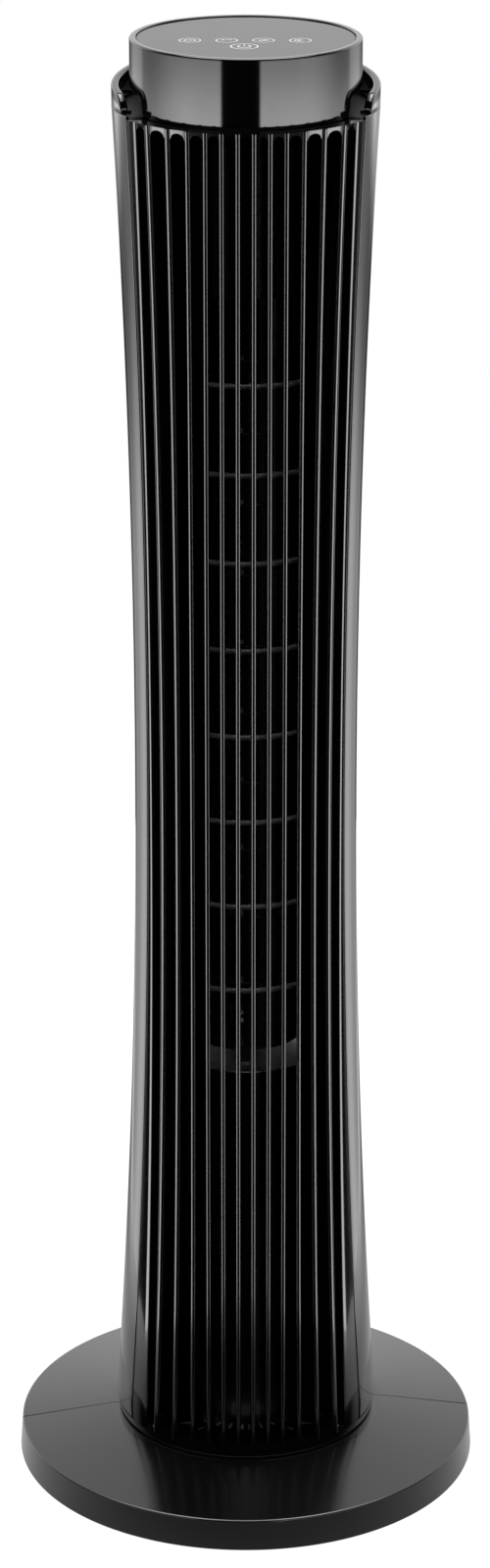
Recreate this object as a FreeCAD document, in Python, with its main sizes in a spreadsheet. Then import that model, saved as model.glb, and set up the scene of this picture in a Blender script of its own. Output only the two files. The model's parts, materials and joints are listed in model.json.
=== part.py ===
import FreeCAD, Part
import math
import os
from collections import namedtuple
import Sketcher
from FreeCAD import Placement, Rotation, Vector

# A free-standing tower fan. Millimetres, +Z up, front towards -Y, origin on the floor under the
# column's axis. Every piece is an object of this document, sized from the sheet "dims".

SIZES = {
    # overall
    "total_height": 980, "base_radius": 154.3, "base_flare": 1.5, "base_height": 23,
    "waist_radius": 72.7, "waist_height": 510, "lower_curve": 6825, "upper_curve": 8148,
    # base
    "seam_turn": 3.5, "foot_height": 3, "rim_lift": 1.5, "rim_wall": 3, "plate_wall": 2.5,
    "edge_break": 0.6, "foot_radius": 8, "foot_boss_radius": 10, "foot_inset": 20,
    "rib_angle": 0.9, "rib_bottom": 8, "crown_step": 8, "crown_ledge": 2, "nut_wall": 10,
    "nut_height": 6,
    "gland_height": 11.5, "gland_radius": 4.4, "gland_bore": 3.2, "gland_flange": 6.5,
    # swivel
    "hub_radius": 24, "hub_bore": 17, "seat_radius": 70, "seat_wall": 4, "fit_gap": 0.15,
    "run_gap": 0.05, "body_gap": 0.35, "ball_diameter": 5.8, "ball_circle": 50, "cage_height": 3,
    "cage_width": 10, "base_screw_circle": 60, "gear_screw_circle": 20.5,
    # gears
    "gear_module": 1.5, "gear_teeth": 48, "pinion_teeth": 16, "gear_width": 6, "tooth_thinning": 0.2,
    "stepper_radius": 14, "stepper_height": 19, "stepper_shaft_radius": 2.5, "stepper_deck": 48,
    # column
    "foot_gap": 0.8, "foot_draft": 0.6, "band_draft": 0.3, "band_height": 5.5, "edge_round": 12,
    "floor_wall": 3, "wall": 2.5, "front_half_angle": 62, "grille_depth": 16,
    "duct_wall": 2, "return_gap": 0.15, "return_angle": 1.6, "return_clearance": 0.3,
    "slat_wall": 3, "slot_bottom": 42, "slot_ledge": 2, "slat_pitch": 10.1,
    "slat_pitch_outer": 9.8, "fan_out_4": 1.3, "fan_out_5": 4.1, "fan_out_6": 6.9,
    "outer_slot": 5.2,
    "window_left": -25, "window_right": 35, "window_bottom": 305, "window_drop": 108,
    "window_bar": 3.7, "intake_bottom": 300, "intake_half_angle": 50, "intake_pitch": 10,
    "intake_slot": 6.4, "intake_rib": 4, "boss_radius": 5.5, "boss_height": 16, "bracket_wall": 3,
    # drive
    "wheel_offset": 8, "wheel_radius": 38, "blade_depth": 9.5, "blade_wall": 1.2, "wheel_rings": 10,
    "wheel_ring_wall": 1.6, "wheel_end_wall": 2.5, "wheel_clearance": 3, "shaft_radius": 4,
    "hub_sleeve": 10, "pin_radius": 3, "motor_radius": 34, "motor_height": 58, "motor_skin": 1.5,
    "motor_flange_width": 12, "motor_bolt_step": 6, "grommet_height": 2, "stator_bore": 19,
    "rotor_air_gap": 0.5, "motor_bearing_radius": 6, "scroll_clearance": 9, "tongue_clearance": 5,
    "scroll_wall": 1.8, "motor_screw_head": 3.6, "scroll_bolt_gap": 1,
    # electrics
    "board_wall": 1.6, "board_low": 75, "board_tall": 130, "board_wide": 70, "board_plane": -20,
    "capacitor_radius": 12, "capacitor_height": 40,
    # head
    "head_ledge": 11.25, "head_height": 25, "neck_height": 19, "neck_wall": 3, "head_wall": 2.4,
    "rim_width": 4.0, "rim_round": 1.2, "panel_gap": 0.4, "panel_wall": 2.2, "panel_recess": 0.8,
    "apron_half_angle": 61, "apron_gap": 0.3, "cap_half_angle": 113, "cap_wall": 4.9,
    "cap_lift": 2, "cap_side_height": 13.6, "cap_slope": 0.08, "cap_end_round": 9,
    "icon_pitch": 22.8, "icon_row": -9.7, "power_icon_row": -29, "touch_pad_radius": 4,
}

Circle = namedtuple("Circle", "u v radius")
Via = namedtuple("Via", "u v")


class Size:
    """A dimension: its number now, and the sheet expression that keeps it up to date."""

    def __init__(self, value, text=None):
        self.value = float(value)
        self.text = text or "(%s)" % repr(round(self.value, 6))

    def _join(self, other, sign, value):
        return Size(value, "(%s %s %s)" % (self.text, sign, other.text))

    def __add__(self, other):
        other = as_size(other)
        return self._join(other, "+", self.value + other.value)

    def __sub__(self, other):
        other = as_size(other)
        return self._join(other, "-", self.value - other.value)

    def __mul__(self, other):
        other = as_size(other)
        return self._join(other, "*", self.value * other.value)

    def __truediv__(self, other):
        other = as_size(other)
        return self._join(other, "/", self.value / other.value)

    def __neg__(self):
        return self * -1

    def __rsub__(self, other):
        return as_size(other) - self

    __radd__ = __add__
    __rmul__ = __mul__

    def sqrt(self):
        return Size(math.sqrt(self.value), "sqrt(%s)" % self.text)

    def cos(self):
        return Size(math.cos(math.radians(self.value)), "cos(%s * 1 deg)" % self.text)

    def sin(self):
        return Size(math.sin(math.radians(self.value)), "sin(%s * 1 deg)" % self.text)


def as_size(number):
    return number if isinstance(number, Size) else Size(number)


def make_sheet(doc):
    """Write every size into the sheet as a plain number with its name as alias."""
    sheet = doc.addObject("Spreadsheet::Sheet", "dims")
    for row, (name, number) in enumerate(SIZES.items(), start=1):
        sheet.set("A%d" % row, name)
        sheet.set("B%d" % row, str(number))
        sheet.setAlias("B%d" % row, name)
    doc.recompute()
    return sheet


DOC = FreeCAD.newDocument("tower_fan")
SHEET = make_sheet(DOC)
D = namedtuple("Dims", SIZES)(*[Size(SHEET.get(name), "dims." + name) for name in SIZES])
NODES = {}


def bind(thing, prop, size):
    thing.setExpression(prop, as_size(size).text)


def polar(radius, angle):
    """A point in plan from its radius and its angle, anticlockwise from +X."""
    radius, angle = as_size(radius), as_size(angle)
    return radius * angle.cos(), radius * angle.sin()


def rectangle(u_low, v_low, u_high, v_high):
    return [(u_low, v_low), (u_high, v_low), (u_high, v_high), (u_low, v_high)]


def fix_point(sketch, edge, end, u, v):
    """Dimension one point of a sketch from its origin."""
    for kind, axis, size in (("DistanceX", -2, as_size(u)), ("DistanceY", -1, as_size(v))):
        if size.text == "(0.0)":
            sketch.addConstraint(Sketcher.Constraint("PointOnObject", edge, end, axis))
            continue
        index = sketch.addConstraint(Sketcher.Constraint(kind, -1, 1, edge, end, size.value))
        bind(sketch, "Constraints[%d]" % index, size)


def draw_circle(sketch, circle):
    u, v, radius = (as_size(part) for part in circle)
    edge = sketch.addGeometry(Part.Circle(Vector(u.value, v.value, 0), Vector(0, 0, 1), radius.value))
    fix_point(sketch, edge, 3, u, v)
    index = sketch.addConstraint(Sketcher.Constraint("Radius", edge, radius.value))
    bind(sketch, "Constraints[%d]" % index, radius)


def draw_path(sketch, path):
    """A closed outline of corners; a Via between two corners makes their edge an arc."""
    def spot(point):
        return Vector(as_size(point[0]).value, as_size(point[1]).value, 0)

    corners = [k for k, point in enumerate(path) if not isinstance(point, Via)]
    ends = []
    for here, there in zip(corners, corners[1:] + corners[:1]):
        start, stop = spot(path[here]), spot(path[there])
        via = path[(here + 1) % len(path)]
        if not isinstance(via, Via):
            edge = sketch.addGeometry(Part.LineSegment(start, stop))
            ends.append((edge, 1, 2))
            continue
        middle = spot(via)
        leftwards = (middle - start).cross(stop - start).z > 0
        first, last = (start, stop) if leftwards else (stop, start)
        edge = sketch.addGeometry(Part.Arc(first, middle, last))
        ends.append((edge, 1, 2) if leftwards else (edge, 2, 1))
        mark = sketch.addGeometry(Part.Point(middle), True)
        fix_point(sketch, mark, 1, via.u, via.v)
        sketch.addConstraint(Sketcher.Constraint("PointOnObject", mark, 1, edge))
    for (edge, start, stop), (following, entry, _), corner in zip(ends, ends[1:] + ends[:1], corners):
        fix_point(sketch, edge, start, path[corner][0], path[corner][1])
        sketch.addConstraint(Sketcher.Constraint("Coincident", edge, stop, following, entry))


class Piece:
    """One moulded, turned or pressed piece, modelled as a body about its own vertical axis."""

    def __init__(self, name, at=(0, 0, 0)):
        self.body = DOC.addObject("PartDesign::Body", name)
        self.body.Label = name
        for axis, size in zip("xyz", at):
            bind(self.body, "Placement.Base." + axis, size)
        NODES[name] = self.body

    def origin(self, role):
        return next(part for part in self.body.Origin.OriginFeatures if part.Role == role)

    def sketch(self, plane, loops, start=0, turn=None):
        sketch = self.body.newObject("Sketcher::SketchObject", self.body.Name + "_sketch")
        sketch.AttachmentSupport = [(self.origin(plane), "")]
        sketch.MapMode = "FlatFace"
        if turn is not None:
            sketch.AttachmentOffset = Placement(Vector(), Rotation(Vector(0, 1, 0), turn.value))
            bind(sketch, "AttachmentOffset.Rotation.Angle", turn)
        bind(sketch, "AttachmentOffset.Base.z", start)
        for loop in loops:
            if isinstance(loop, Circle):
                draw_circle(sketch, loop)
            else:
                draw_path(sketch, loop)
        return sketch

    def turned(self, path, angle=360, turn=None, cut=False):
        """Revolve an outline of (radius, height) points, symmetrically about the +Y half plane.
        Negative radii put the outline on the front side."""
        sketch = self.sketch("YZ_Plane", [path], turn=turn)
        kind = "PartDesign::Groove" if cut else "PartDesign::Revolution"
        feature = self.body.newObject(kind, self.body.Name + "_turned")
        feature.Profile = sketch
        feature.ReferenceAxis = (sketch, ["V_Axis"])
        feature.Midplane = True
        bind(feature, "Angle", angle)
        DOC.recompute()
        return feature

    def pad(self, loops, start, length, plane="XY_Plane"):
        """Extrude outlines from start along the plane's normal: up, or to the front."""
        feature = self.body.newObject("PartDesign::Pad", self.body.Name + "_pad")
        feature.Profile = self.sketch(plane, loops, start)
        bind(feature, "Length", length)
        DOC.recompute()
        return feature

    def cut(self, loops, start, length, plane="XY_Plane"):
        """Cut outlines away from start along the plane's normal: up, or to the front."""
        feature = self.body.newObject("PartDesign::Pocket", self.body.Name + "_cut")
        feature.Profile = self.sketch(plane, loops, start)
        feature.Reversed = True
        bind(feature, "Length", length)
        DOC.recompute()
        return feature

    def around(self, feature, count):
        """Repeat a feature evenly round the piece's axis."""
        pattern = self.body.newObject("PartDesign::PolarPattern", self.body.Name + "_around")
        pattern.Originals = [feature]
        pattern.Axis = (self.origin("Z_Axis"), [""])
        pattern.Angle = 360
        bind(pattern, "Occurrences", count)
        self.body.Tip = pattern
        DOC.recompute()

    def upwards(self, feature, count, span):
        """Repeat a feature evenly up the piece, over the span from first to last."""
        pattern = self.body.newObject("PartDesign::LinearPattern", self.body.Name + "_upwards")
        pattern.Originals = [feature]
        pattern.Direction = (self.origin("Z_Axis"), [""])
        bind(pattern, "Length", span)
        bind(pattern, "Occurrences", count)
        self.body.Tip = pattern
        DOC.recompute()


def screws(name, places, shank, shank_from, shank_to, head, head_to):
    """Identical screws: shanks and heads at the same places, the head past the shank's second end."""
    piece = Piece(name)
    low, high = (shank_from, shank_to) if shank_from.value < shank_to.value else (shank_to, shank_from)
    piece.pad([Circle(u, v, shank) for u, v in places], low, high - low)
    low, high = (shank_to, head_to) if shank_to.value < head_to.value else (head_to, shank_to)
    piece.pad([Circle(u, v, head) for u, v in places], low, high - low)


def column_radius(height, inset=0):
    """Radius of the waisted column: one long arc below the waist and one above, tangent there."""
    curve = D.lower_curve if height.value < D.waist_height.value else D.upper_curve
    rise = height - D.waist_height
    return D.waist_radius + curve - ((curve + inset) * (curve + inset) - rise * rise).sqrt()


# ---- heights and radii that several pieces share ----

BASE_TOP = D.base_height
PLATE_BOTTOM = D.base_height - D.plate_wall
SEAT_TOP = BASE_TOP + D.seat_wall
FLOOR_BOTTOM = SEAT_TOP + D.ball_diameter + D.body_gap
FLOOR_TOP = FLOOR_BOTTOM + D.floor_wall
HUB_TOP = FLOOR_TOP + D.body_gap
GEAR_TOP = HUB_TOP + D.gear_width
CROWN_TOP = FLOOR_BOTTOM - D.foot_gap
BODY_BOTTOM = FLOOR_BOTTOM + D.band_height
KNEE = BODY_BOTTOM + D.edge_round
BAND_RADIUS = column_radius(KNEE) - D.band_draft
CROWN_RADIUS = BAND_RADIUS + D.crown_ledge
HEAD_BOTTOM = D.total_height - D.head_height
DECK_TOP = HEAD_BOTTOM - D.neck_height
DECK_BOTTOM = DECK_TOP - D.wall
HEAD_RADIUS = column_radius(DECK_TOP) - D.head_ledge
HOUSING_TOP = DECK_TOP + D.cap_lift
WINDOW_TOP = DECK_TOP - D.window_drop
LOWER_BRACKET_TOP = D.window_bottom - 5
LOWER_BRACKET_BOTTOM = LOWER_BRACKET_TOP - D.bracket_wall
UPPER_BRACKET_BOTTOM = WINDOW_TOP + 5
UPPER_BRACKET_TOP = UPPER_BRACKET_BOTTOM + D.bracket_wall
WHEEL_BOTTOM = D.window_bottom + D.wheel_clearance
WHEEL_TOP = WINDOW_TOP - 2
MOTOR_TOP = LOWER_BRACKET_BOTTOM - D.grommet_height
MOTOR_BOTTOM = MOTOR_TOP - D.motor_height
PANEL_SEAT = D.total_height - D.panel_recess - D.panel_wall
GEAR_CENTRES = D.gear_module * (D.gear_teeth + D.pinion_teeth) / 2
WHEEL_AXIS = (0, D.wheel_offset, 0)
SCREW_GAP = 0.1
SPANS = 4


def shell_path(low, high, outer, inner, side=1):
    """Section of a shell that follows the column between two insets, from low to high, as short
    straight spans between points of the column's long arcs."""
    waist = D.waist_height
    heights = [KNEE + (waist - KNEE) * step / SPANS for step in range(SPANS)]
    heights += [waist + (high - waist) * step / SPANS for step in range(SPANS + 1)]

    def side_of(inset):
        return [(BAND_RADIUS - inset, low)] + [(column_radius(height, inset), height)
                                                 for height in heights]

    return [(radius * side, height) for radius, height in side_of(outer) + side_of(inner)[::-1]]


def boss_places(top):
    """Four places round the rear of the column for the bosses that end at this height."""
    under = top - D.boss_height
    tight = under if column_radius(under).value < column_radius(top).value else top
    radius = column_radius(tight) - D.boss_radius - 1
    return [polar(radius, angle) for angle in (-15, 30, 150, 195)]


BOSS_TOPS = (LOWER_BRACKET_BOTTOM, UPPER_BRACKET_BOTTOM, DECK_BOTTOM)


# ---- stand ----

def half_angles(side):
    """Directions of the feet under the front (-1) or rear (+1) half of the base."""
    return [D.seam_turn + 90 * side + step for step in (-60, 0, 60)]


def foot_places(side):
    return [polar(D.base_radius - D.foot_inset, angle) for angle in half_angles(side)]


def crown_height(radius):
    """Height of the base's sloping top, which falls from the crown round the column to the rim."""
    edge = D.base_radius - D.edge_break
    return BASE_TOP + (CROWN_TOP - BASE_TOP) * (edge - radius) / (edge - CROWN_RADIUS)


def base_half(name, side):
    piece = Piece(name)
    edge, wall = D.edge_break, D.plate_wall
    rim = D.base_radius - D.rim_wall
    bore = D.hub_radius + D.fit_gap
    step = D.seat_radius + D.crown_step
    path = [(bore, PLATE_BOTTOM), (step + wall, PLATE_BOTTOM), (step + wall, CROWN_TOP - wall),
            (CROWN_RADIUS, CROWN_TOP - wall), (rim, crown_height(rim) - wall), (rim, D.rim_lift),
            (D.base_radius + D.base_flare, D.rim_lift), (D.base_radius, BASE_TOP - edge),
            (D.base_radius - edge, BASE_TOP), (CROWN_RADIUS, CROWN_TOP), (step, CROWN_TOP),
            (step, BASE_TOP), (bore, BASE_TOP)]
    piece.turned([(u * side, v) for u, v in path], angle=180, turn=D.seam_turn)
    boss_top = crown_height(D.base_radius - D.foot_inset + D.foot_boss_radius) - 0.5
    piece.pad([Circle(u, v, D.foot_boss_radius) for u, v in foot_places(side)],
              D.foot_height, boss_top - D.foot_height)
    rib = [(step + 1, D.rib_bottom), (rim + 1, D.rib_bottom), (rim + 1, crown_height(rim + 1) - 1),
           (CROWN_RADIUS, CROWN_TOP - 1), (step + 1, CROWN_TOP - 1)]
    for turn in (-75, -30, 30, 75):
        piece.turned([(u * side, v) for u, v in rib], angle=D.rib_angle, turn=D.seam_turn + turn)
    piece.cut([Circle(u, v, 2 + SCREW_GAP) for u, v in base_screw_places(side)], 0, BASE_TOP + 1)
    return piece


def base_screw_places(side):
    return [polar(D.base_screw_circle, angle + 15) for angle in half_angles(side)]


def gear_screw_places():
    return [polar(D.gear_screw_circle, angle) for angle in (0, 90, 180, 270)]


def stand():
    base_half("base_front_half", -1)
    rear = base_half("base_rear_half", 1)
    rim = D.base_radius - D.rim_wall
    rear.cut([Circle(0, D.gland_height, D.gland_radius + SCREW_GAP)], -(rim + 10), 18, "XZ_Plane")

    feet = Piece("rubber_feet")
    feet.pad([Circle(u, v, D.foot_radius) for side in (-1, 1) for u, v in foot_places(side)],
             0, D.foot_height)

    gland = Piece("cord_gland")
    gland.pad([Circle(0, D.gland_height, D.gland_radius)], -(rim + 6), 12, "XZ_Plane")
    gland.pad([Circle(0, D.gland_height, D.gland_flange)], -(rim - 3), 3, "XZ_Plane")
    gland.cut([Circle(0, D.gland_height, D.gland_bore)], -(rim + 7), 14, "XZ_Plane")

    seat = Piece("swivel_seat")
    seat.turned([(D.hub_bore, PLATE_BOTTOM - 8), (D.hub_radius, PLATE_BOTTOM - 8),
                 (D.hub_radius, BASE_TOP), (D.seat_radius, BASE_TOP), (D.seat_radius, SEAT_TOP),
                 (D.hub_radius, SEAT_TOP), (D.hub_radius, HUB_TOP), (D.hub_bore, HUB_TOP)])
    seat.cut([Circle(u, v, 2 + SCREW_GAP) for side in (-1, 1) for u, v in base_screw_places(side)],
             BASE_TOP - 1, D.seat_wall + 2)
    seat.cut([Circle(u, v, 1.25 + SCREW_GAP) for u, v in gear_screw_places()], HUB_TOP - 10, 11)

    nut = Piece("lock_nut")
    nut_edge = D.hub_radius + D.nut_wall
    nut.turned(rectangle(D.hub_radius + D.fit_gap, PLATE_BOTTOM - D.nut_height, nut_edge, PLATE_BOTTOM))
    notch = nut.cut([rectangle(nut_edge - 3, -3, nut_edge + 2, 3)], PLATE_BOTTOM - D.nut_height - 1,
                    D.nut_height - 1)
    nut.around(notch, 6)

    cage = Piece("bearing_cage")
    cage_bottom = SEAT_TOP + (D.ball_diameter - D.cage_height) / 2
    cage.turned(rectangle(D.ball_circle - D.cage_width / 2, cage_bottom,
                          D.ball_circle + D.cage_width / 2, cage_bottom + D.cage_height))
    hole = cage.cut([Circle(D.ball_circle, 0, D.ball_diameter / 2 + SCREW_GAP)], SEAT_TOP,
                    D.ball_diameter)
    cage.around(hole, 12)

    balls = []
    for number in range(12):
        ball = DOC.addObject("Part::Sphere", "ball")
        u, v = polar(D.ball_circle, 30 * number)
        bind(ball, "Radius", D.ball_diameter / 2)
        for axis, size in zip("xyz", (u, v, SEAT_TOP + D.ball_diameter / 2 + 0.02)):
            bind(ball, "Placement.Base." + axis, size)
        balls.append(ball)
    group = DOC.addObject("Part::Compound", "bearing_balls")
    group.Links = balls
    NODES["bearing_balls"] = group

    screws("base_screws", base_screw_places(-1) + base_screw_places(1), Size(2), SEAT_TOP - 0.5,
           PLATE_BOTTOM, Size(4), PLATE_BOTTOM - 2.5)
    screws("gear_screws", gear_screw_places(), Size(1.25), HUB_TOP - 8, GEAR_TOP, Size(2.5),
           GEAR_TOP + 1.6)


# ---- oscillation drive ----

def gear_wire(teeth, start_angle, module, thinning):
    """Outline of a spur gear: involute flanks as arcs through three of their points, with a
    shortened head and a tooth thinned for backlash. A tooth lies at the start angle."""
    pitch = module * teeth / 2
    base = pitch * math.cos(math.radians(20))
    tip, root = pitch + 0.8 * module, pitch - 1.1 * module
    half = math.pi / 2 / teeth - thinning / 2 / pitch

    def involute(angle):
        return math.tan(angle) - angle

    def flank(radius, side, centre):
        swing = involute(math.acos(min(1, base / radius))) - involute(math.radians(20))
        angle = centre + side * (half - swing)
        return Vector(radius * math.cos(angle), radius * math.sin(angle), 0)

    edges = []
    inner = max(root, base)
    radii = (inner, (inner + tip) / 2, tip)
    for tooth in range(teeth):
        centre = start_angle + tooth * 2 * math.pi / teeth
        following = centre + 2 * math.pi / teeth
        rising = [flank(radius, -1, centre) for radius in radii]
        falling = [flank(radius, 1, centre) for radius in radii[::-1]]
        arriving = flank(inner, -1, following)
        foot, toe = (falling[2] * (root / inner), arriving * (root / inner))
        middle = Vector(math.cos(centre), math.sin(centre), 0)
        valley = Vector(math.cos((centre + following) / 2), math.sin((centre + following) / 2), 0)
        edges += [Part.Arc(*rising).toShape(), Part.Arc(rising[2], middle * tip, falling[0]).toShape(),
                  Part.Arc(*falling).toShape()]
        if (falling[2] - foot).Length > 1e-6:
            edges.append(Part.LineSegment(falling[2], foot).toShape())
        edges.append(Part.Arc(foot, valley * root, toe).toShape())
        if (arriving - toe).Length > 1e-6:
            edges.append(Part.LineSegment(toe, arriving).toShape())
    return Part.Wire(Part.sortEdges(edges)[0])


def gear(name, teeth, start_angle, bore, holes, at):
    """A spur gear as a plain shape, because neither a sketch nor a primitive fits its teeth."""
    wires = [gear_wire(int(teeth.value), start_angle, D.gear_module.value, D.tooth_thinning.value)]
    blank = Part.Face(wires[0]).extrude(Vector(0, 0, D.gear_width.value))
    tools = [Part.makeCylinder(bore, D.gear_width.value + 2, Vector(0, 0, -1))]
    for u, v in holes:
        tools.append(Part.makeCylinder(1.25 + SCREW_GAP, D.gear_width.value + 2,
                                       Vector(u.value, v.value, -1)))
    wheel = DOC.addObject("Part::Feature", name)
    wheel.Shape = blank.cut(Part.makeCompound(tools))
    for axis, size in zip("xyz", at):
        bind(wheel, "Placement.Base." + axis, size)
    NODES[name] = wheel


def oscillation():
    gear("oscillation_gear", D.gear_teeth, math.pi / 2, 10, gear_screw_places(), (0, 0, HUB_TOP))
    gear("oscillation_pinion", D.pinion_teeth, -math.pi / 2 + math.pi / D.pinion_teeth.value,
         D.stepper_shaft_radius.value, [], (0, GEAR_CENTRES, HUB_TOP))

    deck = D.stepper_deck
    bracket = Piece("stepper_bracket")
    bracket.pad([[(-26, FLOOR_TOP), (-22, FLOOR_TOP), (-22, deck - 2), (22, deck - 2), (22, FLOOR_TOP),
                  (26, FLOOR_TOP), (26, deck), (-26, deck)]], -(GEAR_CENTRES + 16), 24, "XZ_Plane")
    ears = [(-17.5, GEAR_CENTRES), (17.5, GEAR_CENTRES)]
    bracket.cut([Circle(0, GEAR_CENTRES, 4.5)] + [Circle(u, v, 1.5 + SCREW_GAP) for u, v in ears],
                deck - 3, 4)

    motor = Piece("stepper_motor", (0, GEAR_CENTRES, 0))
    motor.pad([Circle(0, 0, D.stepper_radius)], deck, D.stepper_height)
    motor.pad([Circle(0, 0, 4.4)], deck - 2, 3)
    motor.pad([[(-17.5, -3.5), (17.5, -3.5), Via(21, 0), (17.5, 3.5), (-17.5, 3.5), Via(-21, 0)]],
              deck, 1)
    motor.cut([Circle(0, 0, D.stepper_shaft_radius + D.run_gap)], deck - 3, 15)
    motor.cut([Circle(-17.5, 0, 1.5 + SCREW_GAP), Circle(17.5, 0, 1.5 + SCREW_GAP)], deck - 1, 3)

    shaft = Piece("stepper_shaft", (0, GEAR_CENTRES, 0))
    shaft.pad([Circle(0, 0, D.stepper_shaft_radius)], HUB_TOP, deck + 11.5 - HUB_TOP)
    screws("stepper_screws", ears, Size(1.5), deck - 4, deck + 1, Size(2.6), deck + 2.6)


# ---- column shells ----

def slat_centres():
    """Half of the slats, from the middle out: place at the waist, and how far the ends fan out."""
    inner = [(D.slat_pitch * step, as_size(0)) for step in (0.5, 1.5, 2.5)]
    fourth = D.slat_pitch * 2.5 + D.slat_pitch_outer
    outer = [(fourth, D.fan_out_4), (fourth + D.slat_pitch_outer, D.fan_out_5),
             (fourth + D.slat_pitch_outer * 2, D.fan_out_6)]
    return inner + outer


def slot_side(place, fan, low, high):
    """One side of a slot from low to high: it leaves the middle place by the square of the way."""
    steps = (-1, -0.5, 0, 0.5, 1) if fan.value else (-1, 1)
    middle, half = (low + high) / 2, (high - low) / 2
    return [(place + fan * step * step, middle + half * step) for step in steps]


def slot_paths(bottom, top):
    """Upright slots between the slats, each side bowed with its slat, with round ends."""
    half = D.slat_wall / 2
    right = slat_centres()
    last, spread = right[-1]
    slats = [(-place, -fan) for place, fan in right[::-1]] + right
    lefts = [(place + half, fan) for place, fan in slats]
    rights = [(place - half, fan) for place, fan in slats]
    edge = (last + half + D.outer_slot, spread)
    pairs = [((-edge[0], -edge[1]), rights[0])] + list(zip(lefts, rights[1:])) + [(lefts[-1], edge)]
    paths = []
    for (left, left_fan), (right, right_fan) in pairs:
        radius = (right + right_fan - left - left_fan) / 2
        low, high = bottom + radius, top - radius
        centre = (left + left_fan + right + right_fan) / 2
        paths.append(slot_side(right, right_fan, low, high) + [Via(centre, top)]
                     + slot_side(left, left_fan, low, high)[::-1] + [Via(centre, bottom)])
    return paths


def shells():
    foot = Piece("column_foot")
    inside = BAND_RADIUS - D.floor_wall
    foot.turned([(D.hub_radius + D.run_gap, FLOOR_BOTTOM), (BAND_RADIUS - D.foot_draft, FLOOR_BOTTOM),
                 (BAND_RADIUS, BODY_BOTTOM), (inside, BODY_BOTTOM), (inside, FLOOR_TOP),
                 (D.hub_radius + D.run_gap, FLOOR_TOP)])

    housing = Piece("rear_housing")
    housing.turned(shell_path(BODY_BOTTOM, HOUSING_TOP, 0, D.wall), 360 - D.front_half_angle * 2)
    for top in BOSS_TOPS:
        places = boss_places(top)
        housing.pad([Circle(u, v, D.boss_radius) for u, v in places], top - D.boss_height, D.boss_height)
        housing.cut([Circle(u, v, 1.5 + SCREW_GAP) for u, v in places], top - 12, 13)
    intake_top = WINDOW_TOP + 2
    housing.turned(rectangle(D.waist_radius - 15, D.intake_bottom, D.waist_radius + 30, intake_top),
                   D.intake_half_angle * 2, cut=True)

    rear = Piece("rear_grille")
    band = shell_path(BODY_BOTTOM, HOUSING_TOP, 0, D.wall)
    rear.turned(band, D.intake_half_angle * 2)
    far = D.waist_radius + 30
    for low, high in ((BODY_BOTTOM - 5, D.intake_bottom), (intake_top, HOUSING_TOP + 5)):
        rear.turned(rectangle(D.waist_radius - 15, low, far, high), 180, cut=True)
    count = int((intake_top.value - D.intake_bottom.value - 12) / D.intake_pitch.value)
    reach = D.waist_radius * D.intake_half_angle.sin() - D.intake_rib
    third, half_rib = reach / 3, D.intake_rib / 2
    first = D.intake_bottom + 8
    slots = [rectangle(left, first, right, first + D.intake_slot) for left, right in
             ((-reach, -third - half_rib), (half_rib - third, third - half_rib),
              (third + half_rib, reach))]
    row = rear.cut(slots, -far, far, "XZ_Plane")
    rear.upwards(row, count, D.intake_pitch * (count - 1))

    grille = Piece("front_grille")
    grille.turned(shell_path(BODY_BOTTOM, DECK_TOP, 0, D.grille_depth, -1), D.front_half_angle * 2)
    grille.cut(slot_paths(D.slot_bottom, DECK_TOP - D.slot_ledge), 0, D.waist_radius + 30, "XZ_Plane")

    duct = Piece("duct_front")
    inset = D.grille_depth + SCREW_GAP
    far_side = D.front_half_angle + D.return_gap + D.return_angle
    duct.turned(shell_path(FLOOR_TOP, DECK_TOP, inset, inset + D.duct_wall, -1), far_side * 2)
    for side in (-1, 1):
        duct.turned(shell_path(BODY_BOTTOM, DECK_TOP, D.wall + D.return_clearance, inset + D.duct_wall, -1),
                    D.return_angle, turn=(far_side - D.return_angle / 2) * side)
    pitch = (WINDOW_TOP - D.window_bottom + D.window_bar) / 9
    pane = duct.cut([rectangle(D.window_left, D.window_bottom, D.window_right,
                               D.window_bottom + pitch - D.window_bar)], 0, far, "XZ_Plane")
    duct.upwards(pane, 9, pitch * 8)

    cap = Piece("shoulder_cap")
    cap_outer = column_radius(HOUSING_TOP)
    cap_high = HOUSING_TOP + 26
    cap.turned(rectangle(cap_outer - D.cap_wall, HOUSING_TOP, cap_outer, cap_high), D.cap_half_angle * 2)
    end = -cap_outer * (180 - D.cap_half_angle).cos()
    side_top = HOUSING_TOP + D.cap_side_height

    def slope(depth):
        return side_top + depth * D.cap_slope

    round_over = D.cap_end_round
    corner = round_over * (1 - math.sqrt(0.5))
    start = end + round_over
    low = slope(start) - round_over
    cap.cut([[(end - 1, low), (end, low), Via(end + corner, slope(start) - corner), (start, slope(start)),
              (cap_outer + 1, slope(cap_outer + 1)), (cap_outer + 1, cap_high + 1),
              (end - 1, cap_high + 1)]], -cap_outer - 1, cap_outer * 2 + 2, "YZ_Plane")


def cross_plate(name, bottom, thickness):
    """A plate across the column: a disc inside the front duct, wider behind where the shell is."""
    plate = Piece(name)
    top = bottom + thickness
    tight = bottom if column_radius(bottom).value < column_radius(top).value else top
    front = column_radius(tight) - D.grille_depth - D.duct_wall - SCREW_GAP - 0.3
    rear = column_radius(tight) - D.wall - 0.25
    plate.pad([Circle(0, 0, front)], bottom, thickness)
    plate.turned(rectangle(front - 5, bottom, rear, top), 230)
    plate.cut([Circle(u, v, 1.5 + SCREW_GAP) for u, v in boss_places(bottom)], bottom - 1, thickness + 2)
    return plate, front


# ---- air duct, motor and wheel ----

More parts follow.
